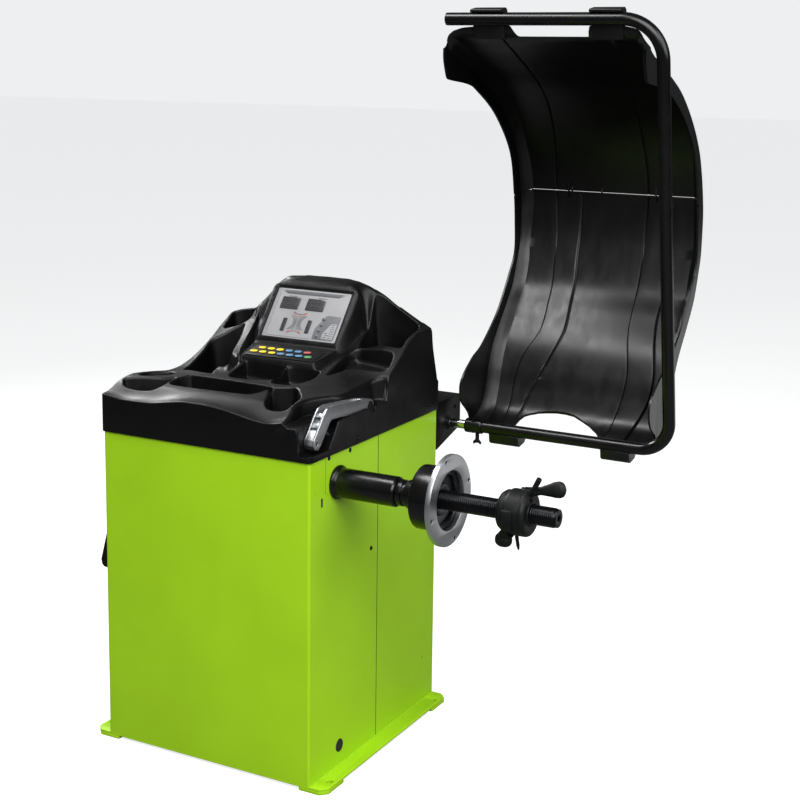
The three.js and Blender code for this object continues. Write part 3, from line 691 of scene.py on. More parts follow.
def bezel(x, y):
    """Height that the frame round the display stands above the housing's face."""
    s = (y - DISPLAY["y"]) / math.cos(DISPLAY["angle"])
    on_face = ease(0, 8, s) * (1 - ease(150, 168, s)) * (1 - ease(-2, 6, beside_housing(x, y)))
    x0, x1, s0, s1 = DISPLAY_FRAME
    out = np.maximum.reduce([x0 - x, x - x1, s0 - s, s - s1])
    return on_face * (5.0 * ease(0, 2.2, out))


def recess_floor(floor, x, y, base):
    """Floor of a recess. Two of them rise to the back, and the arm's trough stays under the top."""
    if floor == LEFT_TRAY_FLOOR:
        return floor + 34 * ease(-196, -176, x - 0.45 * (y - 20)) * ease(-10, 40, y)
    if floor == RIGHT_POCKET_FLOOR:
        return floor - 7 + 25 * ease(20, 104, y)
    if floor == TROUGH_FLOOR:
        return np.minimum(floor, base - 6)
    return floor


def cover_lines():
    """Closed lines of every recess, smoothed, with the numbers that carve() needs."""
    lines = [(f, r, t, d, spline(line, 2.6, True)) for f, r, t, d, line in POCKETS]
    left = spline(TROUGH[:10], 2.6)
    rest = straight_ring(TROUGH[9:] + TROUGH[:1], 2.6, False)
    return lines + [(TROUGH_FLOOR, 7, 6, 4, np.vstack([left, rest[1:]]))]


def straight_ring(line, pitch=2.5, closed=True):
    """Points along a line of straight sides."""
    line = np.array(line, float)
    ends = np.roll(line, -1, axis=0) if closed else line[1:]
    out = []
    for a, b in zip(line, ends):
        n = max(1, int(np.linalg.norm(b - a) / pitch))
        out += [a + (b - a) * k / n for k in range(n)]
    return np.array(out)


COVER_LINES = cover_lines()
BORDER = rect(-COVER["x"], COVER["x"], -COVER["y"], COVER["y"], CORNER_R, 6)


def cover_height(x, y):
    """Height of the finished cover at points inside its border."""
    pts = np.stack([x, y], 1)
    base = cover_base(x, y)
    base = base + bezel(x, y)
    z = base.copy()
    for floor, rim, foot, draft, line in COVER_LINES:
        near = np.all((pts > line.min(axis=0) - 10) & (pts < line.max(axis=0) + 10), axis=1)
        s = distance(pts[near], line)
        level = recess_floor(floor, x[near], y[near], base[near])
        z[near] = np.minimum(z[near], carve(base[near], s, level, rim, foot, draft))
    z = open_side(x, y, z)
    inside = np.clip(-distance(pts, straight_ring(CHANNEL, 40)), 0, 1.2) / 1.2
    well = np.interp(y, [-258, -192, -172, -156, -150], [658, WALL_LOW, 690, 694, 694])
    z = z * (1 - inside) + np.minimum(z, well) * inside
    lip = ease(ARM_SIDE, ARM_SIDE + 3, x) * (1 - ease(-259.5, -258.5, y))
    z = z * (1 - lip) + np.minimum(z, WALL_LOW) * lip
    depth = -distance(pts, BORDER)
    radius = np.where((x > ARM_SIDE) & (y < 33), 1.2, EDGE_R)
    u = np.clip(radius - depth, 0, radius)
    return z - (radius - np.sqrt(radius * radius - u * u))


def open_side(x, y, z):
    """Brings the outer wall beside the arm down to its own line, with a notch for the arm's rod."""
    wall_top = np.interp(y, [-262, -194, -172, -158, -150], [WALL_LOW, WALL_LOW, 690, 710, 710])
    notch = 1 - ease(11, 13, np.abs(y - GAUGE["y"]))
    wall_top = wall_top * (1 - notch) + 701 * notch
    outer = ease(236, 238, x) * (1 - ease(30, 33, y))
    return np.where((x > ARM_SIDE) & (y < 34), np.minimum(z, z * (1 - outer) + wall_top * outer), z)


def offset_ring(line, d):
    """Closed line moved outward by d."""
    ahead, behind = np.roll(line, -1, axis=0), np.roll(line, 1, axis=0)
    t = ahead - behind
    t /= np.maximum(np.linalg.norm(t, axis=1, keepdims=True), 1e-9)
    area = np.sum(line[:, 0] * ahead[:, 1] - ahead[:, 0] * line[:, 1])
    n = np.stack([t[:, 1], -t[:, 0]], 1) * (1 if area > 0 else -1)
    return line + n * d


def line_x(x, y0, y1, count):
    return np.stack([np.full(count, x), np.linspace(y0, y1, count)], 1)


def line_y(y, x0, x1, count):
    return np.stack([np.linspace(x0, x1, count), np.full(count, y)], 1)


def loose_points():
    """Plan positions along the cover's edges other than its recesses, and a grid finer on curves."""
    loose = [offset_ring(straight_ring(CHANNEL), d) for d in (0.6, 0.0, -0.6, -1.2)]
    loose += [line_x(x, -261, 36, 150) for x in (239.6, 240.2, 241.1, 243.3)]
    loose += [line_y(y, 212, 244, 14) for y in (-259.6, -258.6, -257.6)]
    box = straight_ring(rect(*DISPLAY_FRAME))
    box[:, 1] = DISPLAY["y"] + box[:, 1] * math.cos(DISPLAY["angle"])
    loose += [offset_ring(box, d) for d in (-0.3, 0.6, 1.4, 2.4)]
    crest = spline([p[:2] for p in WING], 3.0)
    loose += [crest + [d, 0] for d in (-9, -5, -2, 0, 2, 5, 9)]
    y = np.linspace(-4, 208, 90)
    for k in np.linspace(0, 1, 9):
        half = HALF_WIDTH(y) + side_run(y) * k
        loose += [np.stack([HOUSING_MIDDLE + side * half, y], 1) for side in (-1, 1)]
    loose += [line_y(y, -243, 243, 163) for y in (208, 210.5, 212.5, 214.5, 218, 221, 224, 227, 230, 249,
                                                  251.5, 254)]
    gx, gy = np.meshgrid(np.arange(-242, 242.1, 3.0), np.arange(-259, 259.1, 3.0))
    h = cover_base(gx.ravel(), gy.ravel()).reshape(gx.shape)
    bend = np.zeros_like(h)
    bend[1:-1, 1:-1] = np.abs(h[2:, 1:-1] + h[:-2, 1:-1] + h[1:-1, 2:] + h[1:-1, :-2] - 4 * h[1:-1, 1:-1])
    rows, cols = np.indices(h.shape)
    beside = beside_housing(gx, gy)
    on_side = (beside > -2) & (beside < 2 + side_run(gy)) & (np.abs(gy - 102) < 108)
    keep = (((bend > 0.3) & (gy < 206)) | ((rows % 3 == 0) & (cols % 3 == 0))) & ~on_side
    return np.vstack(loose + [np.stack([gx[keep], gy[keep]], 1)])


def cover_points():
    """Plan positions for the cover's mesh: its border, rings along every recess and the loose points."""
    rings = []
    loose = loose_points()
    for _, rim, foot, draft, line in COVER_LINES:
        steps = [rim * 1.05, rim * 0.6, rim * 0.25, 0.0, -draft]
        steps += [-(draft + foot * k) for k in (0.12, 0.35, 0.65, 1.05)]
        rings += [offset_ring(line, d) for d in steps]
        s = distance(loose, line)
        loose = loose[(s > rim * 0.4) | (s < -draft - 0.8)]
    pts = np.vstack(rings + [loose])
    pts = pts[distance(pts, BORDER) < -0.25]
    _, first = np.unique(np.round(pts / 0.5).astype(int), axis=0, return_index=True)
    edge = straight_ring(BORDER, 3.0)
    soft = [offset_ring(edge, -d) for d in (0.12, 0.5, 1.2, 2.2, 3.6)]
    return edge, np.vstack([edge, *soft, pts[np.sort(first)]])


def rim_normal(x, y):
    """Outward direction of the cover's border at a point on it."""
    if abs(x) > COVER["x"] - CORNER_R and abs(y) > COVER["y"] - CORNER_R:
        nearest = np.argmin(np.sum((BORDER - [x, y]) ** 2, axis=1))
        return (offset_ring(BORDER, 1.0) - BORDER)[nearest]
    if abs(x) > COVER["x"] - 0.1:
        return math.copysign(1, x), 0
    return 0, math.copysign(1, y)


def build_cover():
    """Top of the cover as one open sheet whose normals follow cover_height()."""
    edge, pts = cover_points()
    made = delaunay_2d_cdt([Vector(p) for p in pts], [(i, (i + 1) % len(edge)) for i in range(len(edge))], [],
                           1, 1e-5, True)
    flat = np.array(made[0], float)
    x, y = flat.T
    step = 0.08
    slope_x = (cover_height(x + step, y) - cover_height(x - step, y)) / (2 * step)
    slope_y = (cover_height(x, y + step) - cover_height(x, y - step)) / (2 * step)
    normals = np.stack([-slope_x, -slope_y, np.ones_like(x)], 1)
    for i in np.where(np.abs(distance(flat, BORDER)) < 0.02)[0]:
        normals[i] = (*rim_normal(*flat[i]), 0.02)
    normals /= np.linalg.norm(normals, axis=1, keepdims=True)
    top = part(np.stack([x, y, cover_height(x, y)], 1), made[2])
    piece("console_shell", "cabinet", "black_plastic", top, node="console_cover", normals=normals)
    build_skirt(edge)


def build_skirt(edge):
    """Walls under the cover's edge, turned under at the bottom."""
    top = cover_height(edge[:, 0] * 0.99999, edge[:, 1] * 0.99999)
    rings = []
    for inset, above in ((0.0, None), (0.0, 1.2), (-0.35, 0.35), (-1.2, 0.0), (-2.2, 0.0), (-3.0, 0.6),
                         (-3.0, 12.0)):
        z = top if above is None else np.minimum(COVER["z0"] + above, top)
        rings.append(np.c_[offset_ring(edge, inset), z])
    piece("console_skirt", "cabinet", "black_plastic", loft(rings, True, False), sharp=40)


# ---------- display and keypad ----------

def bar(slope, x0, x1, s0, s1, off, thick, r=0.0):
    """Thin printed or raised bar on a slope."""
    return slope_plate(slope, [rect(x0, x1, s0, s1, r)], off, thick, 0.08)


def stroke(slope, points, width, off, thick):
    """Printed line of one width along points on a slope."""
    pts = np.array(points, float)
    t = np.gradient(pts, axis=0)
    t /= np.linalg.norm(t, axis=1, keepdims=True)
    n = np.stack([-t[:, 1], t[:, 0]], 1) * width / 2
    return slope_plate(slope, [np.vstack([pts + n, (pts - n)[::-1]])], off, thick, 0.05)


def digit(slope, x, s, w, h, off):
    """Seven unlit bars of a numeral."""
    t, g = 1.5, 0.5
    mid = s + h / 2
    flat = [(x + t, x + w - t, low, low + t) for low in (s + h - t, mid - t / 2, s)]
    upright = [(side, side + t, low + g, high - g) for low, high in ((mid, s + h), (s, mid))
               for side in (x, x + w - t)]
    return [bar(slope, *span, off, 0.12) for span in flat + upright]


def build_display():
    """Overlay with its printed lines, two number windows and two bars of lamps."""
    d, top = DISPLAY, PRINT
    piece("display_face", "cabinet", "overlay", slope_plate(d, [rect(-92, 88, 14, 132, 4)], 0.3, 1.2, 0.35),
          node="display_overlay")
    header = np.array([[-78, 128.6], [-67, 119.5], [61, 119.5], [73, 128.6]])
    prints = [slope_plate(d, [header], top, 0.2, 0.05),
              stroke(d, [[-84, 130], [-72, 122], [66, 122], [80, 130]], 1.0, top, 0.2),
              stroke(d, [[-84, 130], [-84, 20], [-80, 18], [30, 18]], 0.8, top, 0.2),
              bar(d, -60, -38, 113.5, 115.5, top, 0.2), bar(d, 12, 34, 113.5, 115.5, top, 0.2)]
    piece("display_print", "cabinet", "overlay_grey", *prints)
    for side, x in (("left", -51), ("right", 12)):
        digits = [b for k in range(3) for b in digit(d, x - 17 + 12.4 * k, 89, 9.2, 17, 2.6)]
        pane_pair("window_" + side, rect(x - 22.5, x + 22.5, 83, 112, 2.5), "_digits", digits)
    for side, x in (("left", -48), ("right", 13)):
        lamps = [bar(d, x - 2.6, x + 2.6, 32 + 4.6 * k, 34.6 + 4.6 * k, 2.6, 0.12, 0.5) for k in range(6)]
        pane_pair("led_bar_" + side, rect(x - 5, x + 5, 29.5, 61, 2), "_lamps", lamps)
    build_wheel_picture()
    build_knob_panel()


def pane_pair(node, outline, suffix, marks):
    """Window pane on the display and the unlit marks on it."""
    pane = slope_plate(DISPLAY, [outline], 1.8, 0.8, 0.25)
    piece(node + "_pane", "cabinet", "window", pane, node=node)
    piece(node + suffix, "cabinet", "segment", *marks)


def build_wheel_picture():
    """Section of a wheel printed between the lamp bars."""
    cx = -18
    lines, red = [], []

    def mark(points, width, thick, into):
        into.append(stroke(DISPLAY, points, width, PRINT, thick))

    s = np.linspace(35, 70, 9)
    bow = 1 + 1.1 * np.abs((s - 52.5) / 17.5) ** 2.2
    for k in range(6):
        for side in (-1, 1):
            mark(np.stack([cx + side * (3 + 3.2 * k) * 0.5 * bow, s], 1), 1.0, 0.2, lines)
    x = np.linspace(-17, 17, 15)
    for s0, sign in ((71, 1), (34, -1)):
        mark(np.stack([cx + x, s0 + sign * (1.5 + 5.5 * (np.abs(x) / 17) ** 2.0)], 1), 1.6, 0.2, lines)
        mark([[cx + 10, s0 + sign * 1.5], [cx + 17, s0 + sign * 5]], 2.4, 0.25, red)
        mark([[cx - 17, s0 + sign * 5], [cx - 10, s0 + sign * 1.5]], 2.4, 0.25, red)
    for k in range(3):
        mark([[cx - 7 + 6 * k, 70.5], [cx - 4 + 6 * k, 67]], 1.2, 0.25, red)
    piece("wheel_picture", "cabinet", "overlay_dark", *lines)
    piece("wheel_picture_marks", "cabinet", "overlay_red", *red)


def build_knob_panel():
    """Darker patch at the right of the face with four small dials and a light field."""
    d, top = DISPLAY, PRINT
    patch = fillet([[30, 18], [82, 18], [84, 76], [48, 76], [30, 44]], 4)
    field = fillet([[52, 21], [79, 21], [79, 58], [66, 58], [52, 34]], 2)
    piece("dial_patch", "cabinet", "overlay_grey", slope_plate(d, [patch], top, 0.2, 0.05))
    piece("dial_field", "cabinet", "overlay", slope_plate(d, [field], top + 0.2, 0.15, 0.05))
    places = [(40 + 1.2 * k, 26 + 13.5 * k) for k in range(4)]
    dials = [slope_plate(d, [circle(x, s, r)], top + off, thick, 0.12) for x, s in places
             for r, off, thick in ((4.4, 0.2, 0.3), (3.2, 0.5, 0.5))]
    piece("dials", "cabinet", "overlay_dark", *dials)
    ticks = [bar(d, x - 0.35, x + 0.35, s, s + 2.8, top + 1.0, 0.15) for x, s in places]
    piece("dial_ticks", "cabinet", "overlay", *ticks)
    rows = [bar(d, 55 + 3.5 * (k % 2), 63 + 3.5 * (k % 2), 24 + 5 * k, 26 + 5 * k, top + 0.35, 0.12)
            for k in range(3)]
    rows += [bar(d, 67, 77, 24 + 5 * k, 25.6 + 5 * k, top + 0.35, 0.12) for k in range(7)]
    piece("dial_rows", "cabinet", "overlay_grey", *rows)


def oval(x, s, a, b, off):
    """Ellipse lying on the keypad."""
    t = np.linspace(0, 2 * math.pi, 32, endpoint=False)
    return on_slope(KEYPAD, x + a * np.cos(t), s + b * np.sin(t), np.full(32, off))


def build_keypad():
    """Keypad face, two rows of oval keys with a raised surround each, and a mark above each key."""
    face = slope_plate(KEYPAD, [rect(-85, 83, 2, 58, 4)], 0.3, 1.0, 0.3)
    piece("keypad_face", "cabinet", "keypad", face, node="keypad_panel")
    upper = ["yellow"] * 3 + ["blue"] * 2 + ["red"]
    lower = ["yellow"] * 3 + ["blue"] * 3 + ["green"]
    cap = ((8.5, 5.5, 2.4), (8.5, 5.5, 2.8), (8.3, 5.3, 3.15), (7.6, 4.7, 3.4), (5.6, 3.2, 3.5),
           (2.6, 1.4, 3.56))
    surround = ((9.6, 6.6, 1.3), (9.5, 6.5, 1.8), (8.9, 5.9, 1.8), (8.8, 5.8, 1.3))
    frames, icons = [], []
    for row, x0, s, colours in (("key_upper", -62, 41, upper), ("key_lower", -70, 20, lower)):
        for i, colour in enumerate(colours):
            x = x0 + 22 * i
            name = f"{row}_{i + 1}"
            piece(name + "_cap", name + "_body", "key_" + colour, loft([oval(x, s, *ring) for ring in cap]),
                  node=name)
            icons.append(bar(KEYPAD, x - 3, x + 3, s + 8.2, s + 9.4, 1.3, 0.12))
            frames.append(loft([oval(x, s, *ring) for ring in surround], True, False))
    piece("key_surrounds", "cabinet", "keypad", *frames)
    piece("key_marks", "cabinet", "overlay_grey", *icons)


# ---------- cabinet ----------

def folded(line, inner_line, r):
    """Plan of a folded sheet: outer line, then inner line back."""
    inner = fillet(inner_line, r - CABINET["sheet"], 5, False)
    return np.vstack([fillet(line, r, 5, False), inner[::-1]])


def sheet_ring(far, open_at):
    """Plan of the three-sided front sheet, with its middle side at far."""
    x, t = CABINET["x"], CABINET["sheet"]
    inside = far + math.copysign(t, open_at - far)
    return folded([[-x, open_at], [-x, far], [x, far], [x, open_at]],
                  [[-x + t, open_at], [-x + t, inside], [x - t, inside], [x - t, open_at]], 5.0)


def wall_sheet(ring):
    """Sheet of the cabinet's full height over its plan."""
    return loft([np.c_[ring, np.full(len(ring), z)] for z in (CABINET["z0"], CABINET["top"])])


def facing(p, axis):
    """Turns a small part made along X so that it points along an axis."""
    turns = {"x": 0, "y": 0.5, "-y": -0.5, "-x": 1}
    return moved(p, Matrix.Rotation(turns[axis] * math.pi, 4, "Z")) if turns[axis] else p


def screw(x, y, z, r, axis="x", slot_angle=0.6):
    """Pan head screw with a round recess, standing on a face."""
    profile = [[-1.5, 0], [-1.5, r], [0.2, r], [1.0, r * 0.93], [1.9, r * 0.66], [2.2, r * 0.4],
               [1.0, r * 0.24], [0.6, 0]]
    head = lathe(profile, 0, 0, 28)
    if axis == "x":
        head = turn_x(head, math.degrees(slot_angle), 0, 0)
    return shifted(facing(head, axis), x, y, z)


def dimple(x, y, z, r):
    """Small open hole shown as a cup of painted shade set just proud of the sheet."""
    return lathe([[x + 0.15, r], [x + 0.15, r * 0.8], [x - 0.8, r * 0.75], [x - 0.8, 0]], y, z, 20)


def mirrored_block(side, x0, x1, y0, y1, z0, z1, radius, steps=3):
    """Block between two distances from the middle, on one side of the machine."""
    near, far = sorted((side * x0, side * x1))
    return block((near, y0, z0), (far, y1, z1), radius, steps)


def build_cabinet():
    """Front and rear sheets of the cabinet, and everything fixed to them."""
    c, seam = CABINET, CABINET["seam"]
    front = [wall_sheet(sheet_ring(-c["y"], seam - 0.1))]
    front += [mirrored_block(side, c["x"] - 14, c["x"] - 2.2, seam - 18, seam - 0.4, c["z0"] + 1,
                             c["top"] - 1, 0.8) for side in (-1, 1)]
    piece("front_panel", "cabinet", "green", *front, node="cabinet_front_shell")
    piece("rear_panel", "cabinet", "green", rear_panel(), *rear_sides(), node="cabinet_rear_shell")
    build_seams()
    build_base()
    build_hardware()
    build_vents()


def rear_sides():
    """The two side sheets and the rounded rear corners of the rear half."""
    y, t, seam = CABINET["y"], CABINET["sheet"], CABINET["seam"] + 0.1
    parts = []
    for side in (-1, 1):
        out, inside, end = (side * (CABINET["x"] - d) for d in (0, t, 8))
        parts.append(wall_sheet(folded([[out, seam], [out, y], [end, y]],
                                       [[inside, seam], [inside, y - t], [end, y - t]], 5)))
    return parts


def rear_panel():
    """Back sheet with the openings of the inlet and the switch."""
    c = CABINET
    w = c["x"] - 7.9
    holes = [rect(x0, x1, 109, 141, 2) for x0, x1 in ((-201, -169), (-151, -129))]
    return plate_xz([rect(-w, w, c["z0"], c["top"])] + holes, c["y"] - c["sheet"], c["y"], 0.05, 1)


def build_seams():
    """Painted shadow lines: dark strips in the seam between the two halves and along the fine hem near the
    front.
    """
    c = CABINET
    strips = [mirrored_block(side, c["x"] - 0.1, c["x"] + 0.22, c["seam"] - 0.9, c["seam"] + 0.9, c["z0"],
                             c["top"], 0.05, 1) for side in (-1, 1)]
    hem = block((c["x"] - 0.2, -201.5, 575), (c["x"] + 0.12, -200.8, c["top"]), 0.05, 1)
    piece("seam_shadows", "cabinet", "dark", *strips, hem)


def build_base():
    """Base plate with cut corners on four pads and a foot, and the weld beads along it."""
    x, y, chamfer = 277.0, 258.0, 14.0
    corners = [(sx, sy) for sx in (-1, 1) for sy in (-1, 1)]
    anchors = [circle(sx * 264, sy * 218, 6.5) for sx, sy in corners]
    outline = fillet([[-x + chamfer, -y], [x - chamfer, -y], [x, -y + chamfer], [x, y - chamfer],
                      [x - chamfer, y], [-x + chamfer, y], [-x, y - chamfer], [-x, -y + chamfer]], 3, 3)
    parts = [shifted(plate([outline] + anchors, 5, 1.0), z=7), block((-150, -30, 0), (150, 30, 7.2), 1.0)]
    pad = [[x, y - chamfer], [x - chamfer, y], [x - 60, y], [x - 60, y - 72], [x, y - 72]]
    parts += [plate([fillet([[sx * a, sy * b] for a, b in pad], 3, 3), anchor], 7.2, 0.8)
              for (sx, sy), anchor in zip(corners, anchors)]
    piece("base", "cabinet", "green", *parts, node="base_plate")
    ys = np.linspace(-250, 250, 126)
    welds = [sweep(np.stack([np.full(126, side * 242.0), ys, 12.4 + 0.25 * np.sin(ys * 1.9)], 1), 1.5, 1.3,
                   side=[1, 0, 0], seg=10) for side in (-1, 1)]
    piece("base_welds", "cabinet", "green", *welds)


def build_hardware():
    """Screws, small holes and the cable plug of the panels."""
    x, edge = CABINET["x"], COVER["x"]
    heads = [screw(x, y, z, 4.6, "x", y) for y, z in ((-189, 643), (-110, 641), (-24, 420))]
    heads += [screw(edge, y, z, 4.0, "x", y) for y, z in ((-83, 659), (225, 663))]
    heads += [screw(-x, y, z, 4.6, "-x") for y, z in ((-189, 640), (-24, 420), (150, 420))]
    heads += [screw(-edge, y, z, 4.0, "-x") for y, z in ((-83, 659), (200, 663))]
    heads += [screw(side * 215, CABINET["y"], z, 4.6, "y") for side in (-1, 1) for z in (60, 330, 610)]
    piece("panel_screws", "cabinet", "screw", *heads)
    # The small holes and the slot below are painted shade: dark shapes set on the sheet in place of openings.
    holes = [dimple(x, y, z, r) for y, z, r in ((206, 109, 2.6), (-239, 586, 1.4), (-195, 575, 1.4))]
    holes.append(plate_yz([rect(-217, -211, 553, 571, 2.9, 5)], x - 0.4, x + 0.15, 0.05, 1))
    piece("panel_holes", "cabinet", "dark", *holes)
    plug = lathe([[-1, 0], [-1, 13], [0.6, 13], [1.6, 12.2], [2.1, 10.6], [1.3, 9.4], [1.1, 0]], -145, 51, 40)
    piece("cable_plug", "cabinet", "rubber", shifted(plug, x=x))
    build_hanger()
    build_inlet()


def build_hanger():
    """Moulded tool hook on the left side, a wedge with a rounded nose."""
    outline = fillet([[-241.3, 457], [-247, 441], [-265, 374], [-263, 364], [-258, 359], [-241.3, 357]],
                     [1, 8, 5, 4, 4, 1], 5)
    body = plate_xz([outline], -246, -216, 2.2, 4)
    lip = [block((-262, -240 + 9 * k, 366), (-244, -237 + 9 * k, 369), 0.6) for k in range(3)]
    piece("tool_hook", "cabinet", "black_plastic", body, *lip, node="tool_hanger")


def rear_well(x0, x1, wall, depth, r):
    """Four walls of a well behind an opening of the rear panel."""
    y0, y1 = CABINET["y"] - depth, CABINET["y"] + 0.6
    a, b = x0 + wall, x1 - wall
    spans = ((x0, a, 109.3, 140.7), (b, x1, 109.3, 140.7), (a - 1, b + 1, 109.3, 113),
             (a - 1, b + 1, 137, 140.7))
    return [block((p, y0, low), (q, y1, high), r) for p, q, low, high in spans]


def rear_frame(x0, x1, rim, r, inner_r):
    """Flat frame round an opening of the rear panel."""
    y = CABINET["y"]
    return plate_xz([rect(x0, x1, 106, 144, r), rect(x0 + rim, x1 - rim, 113, 137, inner_r)], y + 0.3, y + 3,
                    0.7)


def build_inlet():
    """Mains inlet with its pins, and the rocker switch in its surround."""
    y = CABINET["y"]
    floor = block((-197, y - 18, 111), (-173, y - 13, 139), 0.5)
    piece("inlet", "cabinet", "black_plastic", rear_frame(-204, -166, 8, 4, 5),
          *rear_well(-200.7, -169.3, 4.7, 17, 0.5), floor, node="mains_inlet")
    pins = [block((-186.2 + dx, y - 14, 124 + dz), (-183.8 + dx, y - 2, 130 + dz), 0.6)
            for dx, dz in ((0, 0), (-7, -7), (7, -7))]
    piece("inlet_pins", "cabinet", "brass", *pins)
    piece("switch_surround", "cabinet", "black_plastic", rear_frame(-154, -126, 7, 3, 0.8),
          *rear_well(-150.7, -129.3, 3.7, 15, 0.4), node="switch_frame")
    cap = fillet([[254, 114.5], [260.8, 114.5], [259.8, 125], [260.8, 135.5], [254, 135.5], [251.5, 125]],
                 [0.6, 1, 8, 1, 0.6, 2], 4)
    piece("rocker_cap", "rocker", "black_plastic", plate_yz([cap], -146.5, -133.5, 0.5), node="power_rocker")
    line = block((-140.4, 260.1, 130), (-139.6, 260.9, 134.2), 0.15)
    ring = lathe([[-0.3, 2.3], [0.3, 2.3], [0.3, 1.7], [-0.3, 1.7]], 0, 0, 24)
    piece("rocker_marks", "rocker", "overlay", line, shifted(facing(ring, "y"), -140, 260.3, 118.5),
          slot=None)


def build_vents():
    """Pressed louvres high on the rear panel, with a strip of painted shade in the gap under each."""
    y = CABINET["y"]
    x = np.linspace(-62, 62, 25)
    swell = 3.6 * np.clip(1 - (np.abs(x) / 62) ** 8, 0, 1)
    hoods, gaps = [], []
    for z in range(470, 589, 17):
        upper, middle, lower, under = (np.stack([x, y + out, np.full(25, float(z + up))], 1) for out,
                                       up in ((0 * x - 0.2, 9.0), (swell * 0.75, 4.5), (swell, 0),
                                              (0 * x - 0.3, -0.2)))
        hoods.append(loft([upper, middle, lower], False, False))
        gaps.append(loft([lower + [0, -0.25, 0.1], under], False, False))
    piece("louvres", "cabinet", "green", *hoods, sharp=60)
    piece("louvre_gaps", "cabinet", "dark", *gaps)


# ---------- spindle, hub and flange ----------

def spun(profile, radius, seg=72, at=SHAFT):
    """Turned part whose profile of [x, radius] pairs has its corners rounded."""
    return lathe(fillet(profile, radius, 3), at["y"], at["z"], seg)


def radial(angle, x, r, at=SHAFT):
    """Point at x and radius r about an axis along X, at an angle from +Y towards +Z."""
    a = math.radians(angle)
    return [x, at["y"] + r * math.cos(a), at["z"] + r * math.sin(a)]


def fitted(p, x, r, angles):
    """Copies of a small turned part round the shaft."""
    return [shifted(p, *radial(angle, x, r)) for angle in angles]


def build_spindle():
    """Housing tube with its bolts, shaft, hub drum and flange."""
    tube = [spun([[-40, 24], [-40, 28.7], [371, 28.7], [375, 26.5], [375, 24]], [0.5, 1, 2, 1, 0.5], 96),
            spun([[241.4, 28.4], [241.4, 33], [246.2, 33], [249.5, 30.2], [250, 28.4]],
                 [0.3, 1.2, 1.5, 1, 0.3], 96), spun([[249, 28.5], [249.5, 30.4], [252.5, 29.4],
                                                     [253.5, 28.5]], 0.6), spun([[368, 23], [368, 26],
                                                                                 [374.9, 25.2], [374.9, 23]],
                                                                                0.8)]
    piece("housing_tube", "cabinet", "black_paint", *tube, node="spindle_housing", sharp=25)
    bolt = lathe([[372, 0], [372, 2.4], [375.8, 2.4], [376.0, 1.9], [375.2, 1.2], [375.2, 0]], 0, 0, 16)
    piece("housing_bolts", "cabinet", "screw", *fitted(bolt, 0, 25.3, (45, 135, 225, 315)))
    build_shaft()
    hub = [spun([[376.3, 18.3], [376.3, 25], [388, 25], [388, 22], [396, 22], [396, 27], [408, 27], [412, 34],
                 [419, 38], [423, 60], [471, 60], [471, 50], [463, 50], [463, 18.3]],
                [0.5, 1.8, 1.8, 1, 1, 2, 2, 3, 3, 4, 0.8, 0.8, 2.5, 0.5], 96),
           spun([[462, 18.2], [462, 31], [466, 30], [466.6, 27], [466.6, 18.2]], [0.3, 1, 1.5, 1, 0.3]),
           spun([[462, 46], [462, 50.2], [470.6, 50.2], [470.6, 47.6], [464.5, 46]], 0.7, 96)]
    piece("hub_drum", "spindle", "black_paint", *hub, node="wheel_hub", sharp=25)
    build_flange()


def build_flange():
    """Steel ring with four holes, each lined with painted shade, and the black spigot behind it."""
    y, z = SHAFT["y"], SHAFT["z"]
    angles, reach = (15, 105, 195, 285), 78.5
    holes = [circle(*radial(angle, 0, reach)[1:], 3.5, 20) for angle in angles]
    ring = plate_yz([circle(y, z, 85.7, 120), circle(y, z, 56.2, 96)] + holes, 471.3, 481.3, 0.8, 3)
    piece("flange_ring", "spindle", "flange_steel", ring, node="wheel_flange", sharp=25)
    # The dark cups in the four holes are painted shade inside the bores.
    cup = lathe([[471.4, 3.6], [480.6, 3.6], [480.6, 3.2], [472.4, 3.2], [472.4, 0], [471.4, 0]], 0, 0, 20)
    piece("flange_bores", "spindle", "dark", *fitted(cup, 0, reach, angles), slot="steel")
    spigot = spun([[463.2, 50.4], [463.2, 56.0], [471.2, 56.0], [471.2, 50.4]], 0.4, 96)
    piece("flange_spigot", "spindle", "black_paint", spigot)


def build_shaft():
    """Shaft with a trapezoidal thread cut along its outer part and a hexagon socket in its end."""
    seg, pitch = 60, 4.0
    root, depth = 17.05, 0.95
    t = np.linspace(0, 2 * math.pi, seg, endpoint=False)

    def ring(x, r):
        return np.stack([np.full(seg, x), SHAFT["y"] + r * np.cos(t), SHAFT["z"] + r * np.sin(t)], 1)

    rings = []
    for x in np.arange(423.0, 688.01, 0.5):
        phase = (x / pitch - t / (2 * math.pi)) % 1.0
        rings.append(ring(x, root + depth * np.clip(np.abs(phase - 0.5) * 6 - 0.9, 0, 1)))
    rings += [ring(x, r) for x, r in ((688.6, 16.9), (690.5, 16.9), (691.0, 16.7), (694.2, 16.7),
                                      (695.0, 15.8), (695.0, 8.4), (694.4, 7.7))]
    hexagon = 6.5 * math.cos(math.pi / 6) / np.cos((t + math.pi / 6) % (math.pi / 3) - math.pi / 6)
    rings += [ring(x, hexagon) for x in (694.0, 680.0)]
    plain = spun([[-110, 0], [-110, 17], [376, 17], [376, 17.6], [424, 17.6], [424, 0]],
                 [0, 1, 0.2, 0.2, 0.2, 0], 60)
    piece("threaded_shaft", "spindle", "shaft_steel", plain, loft(rings), node="main_shaft", sharp=38)


# ---------- quick nut ----------

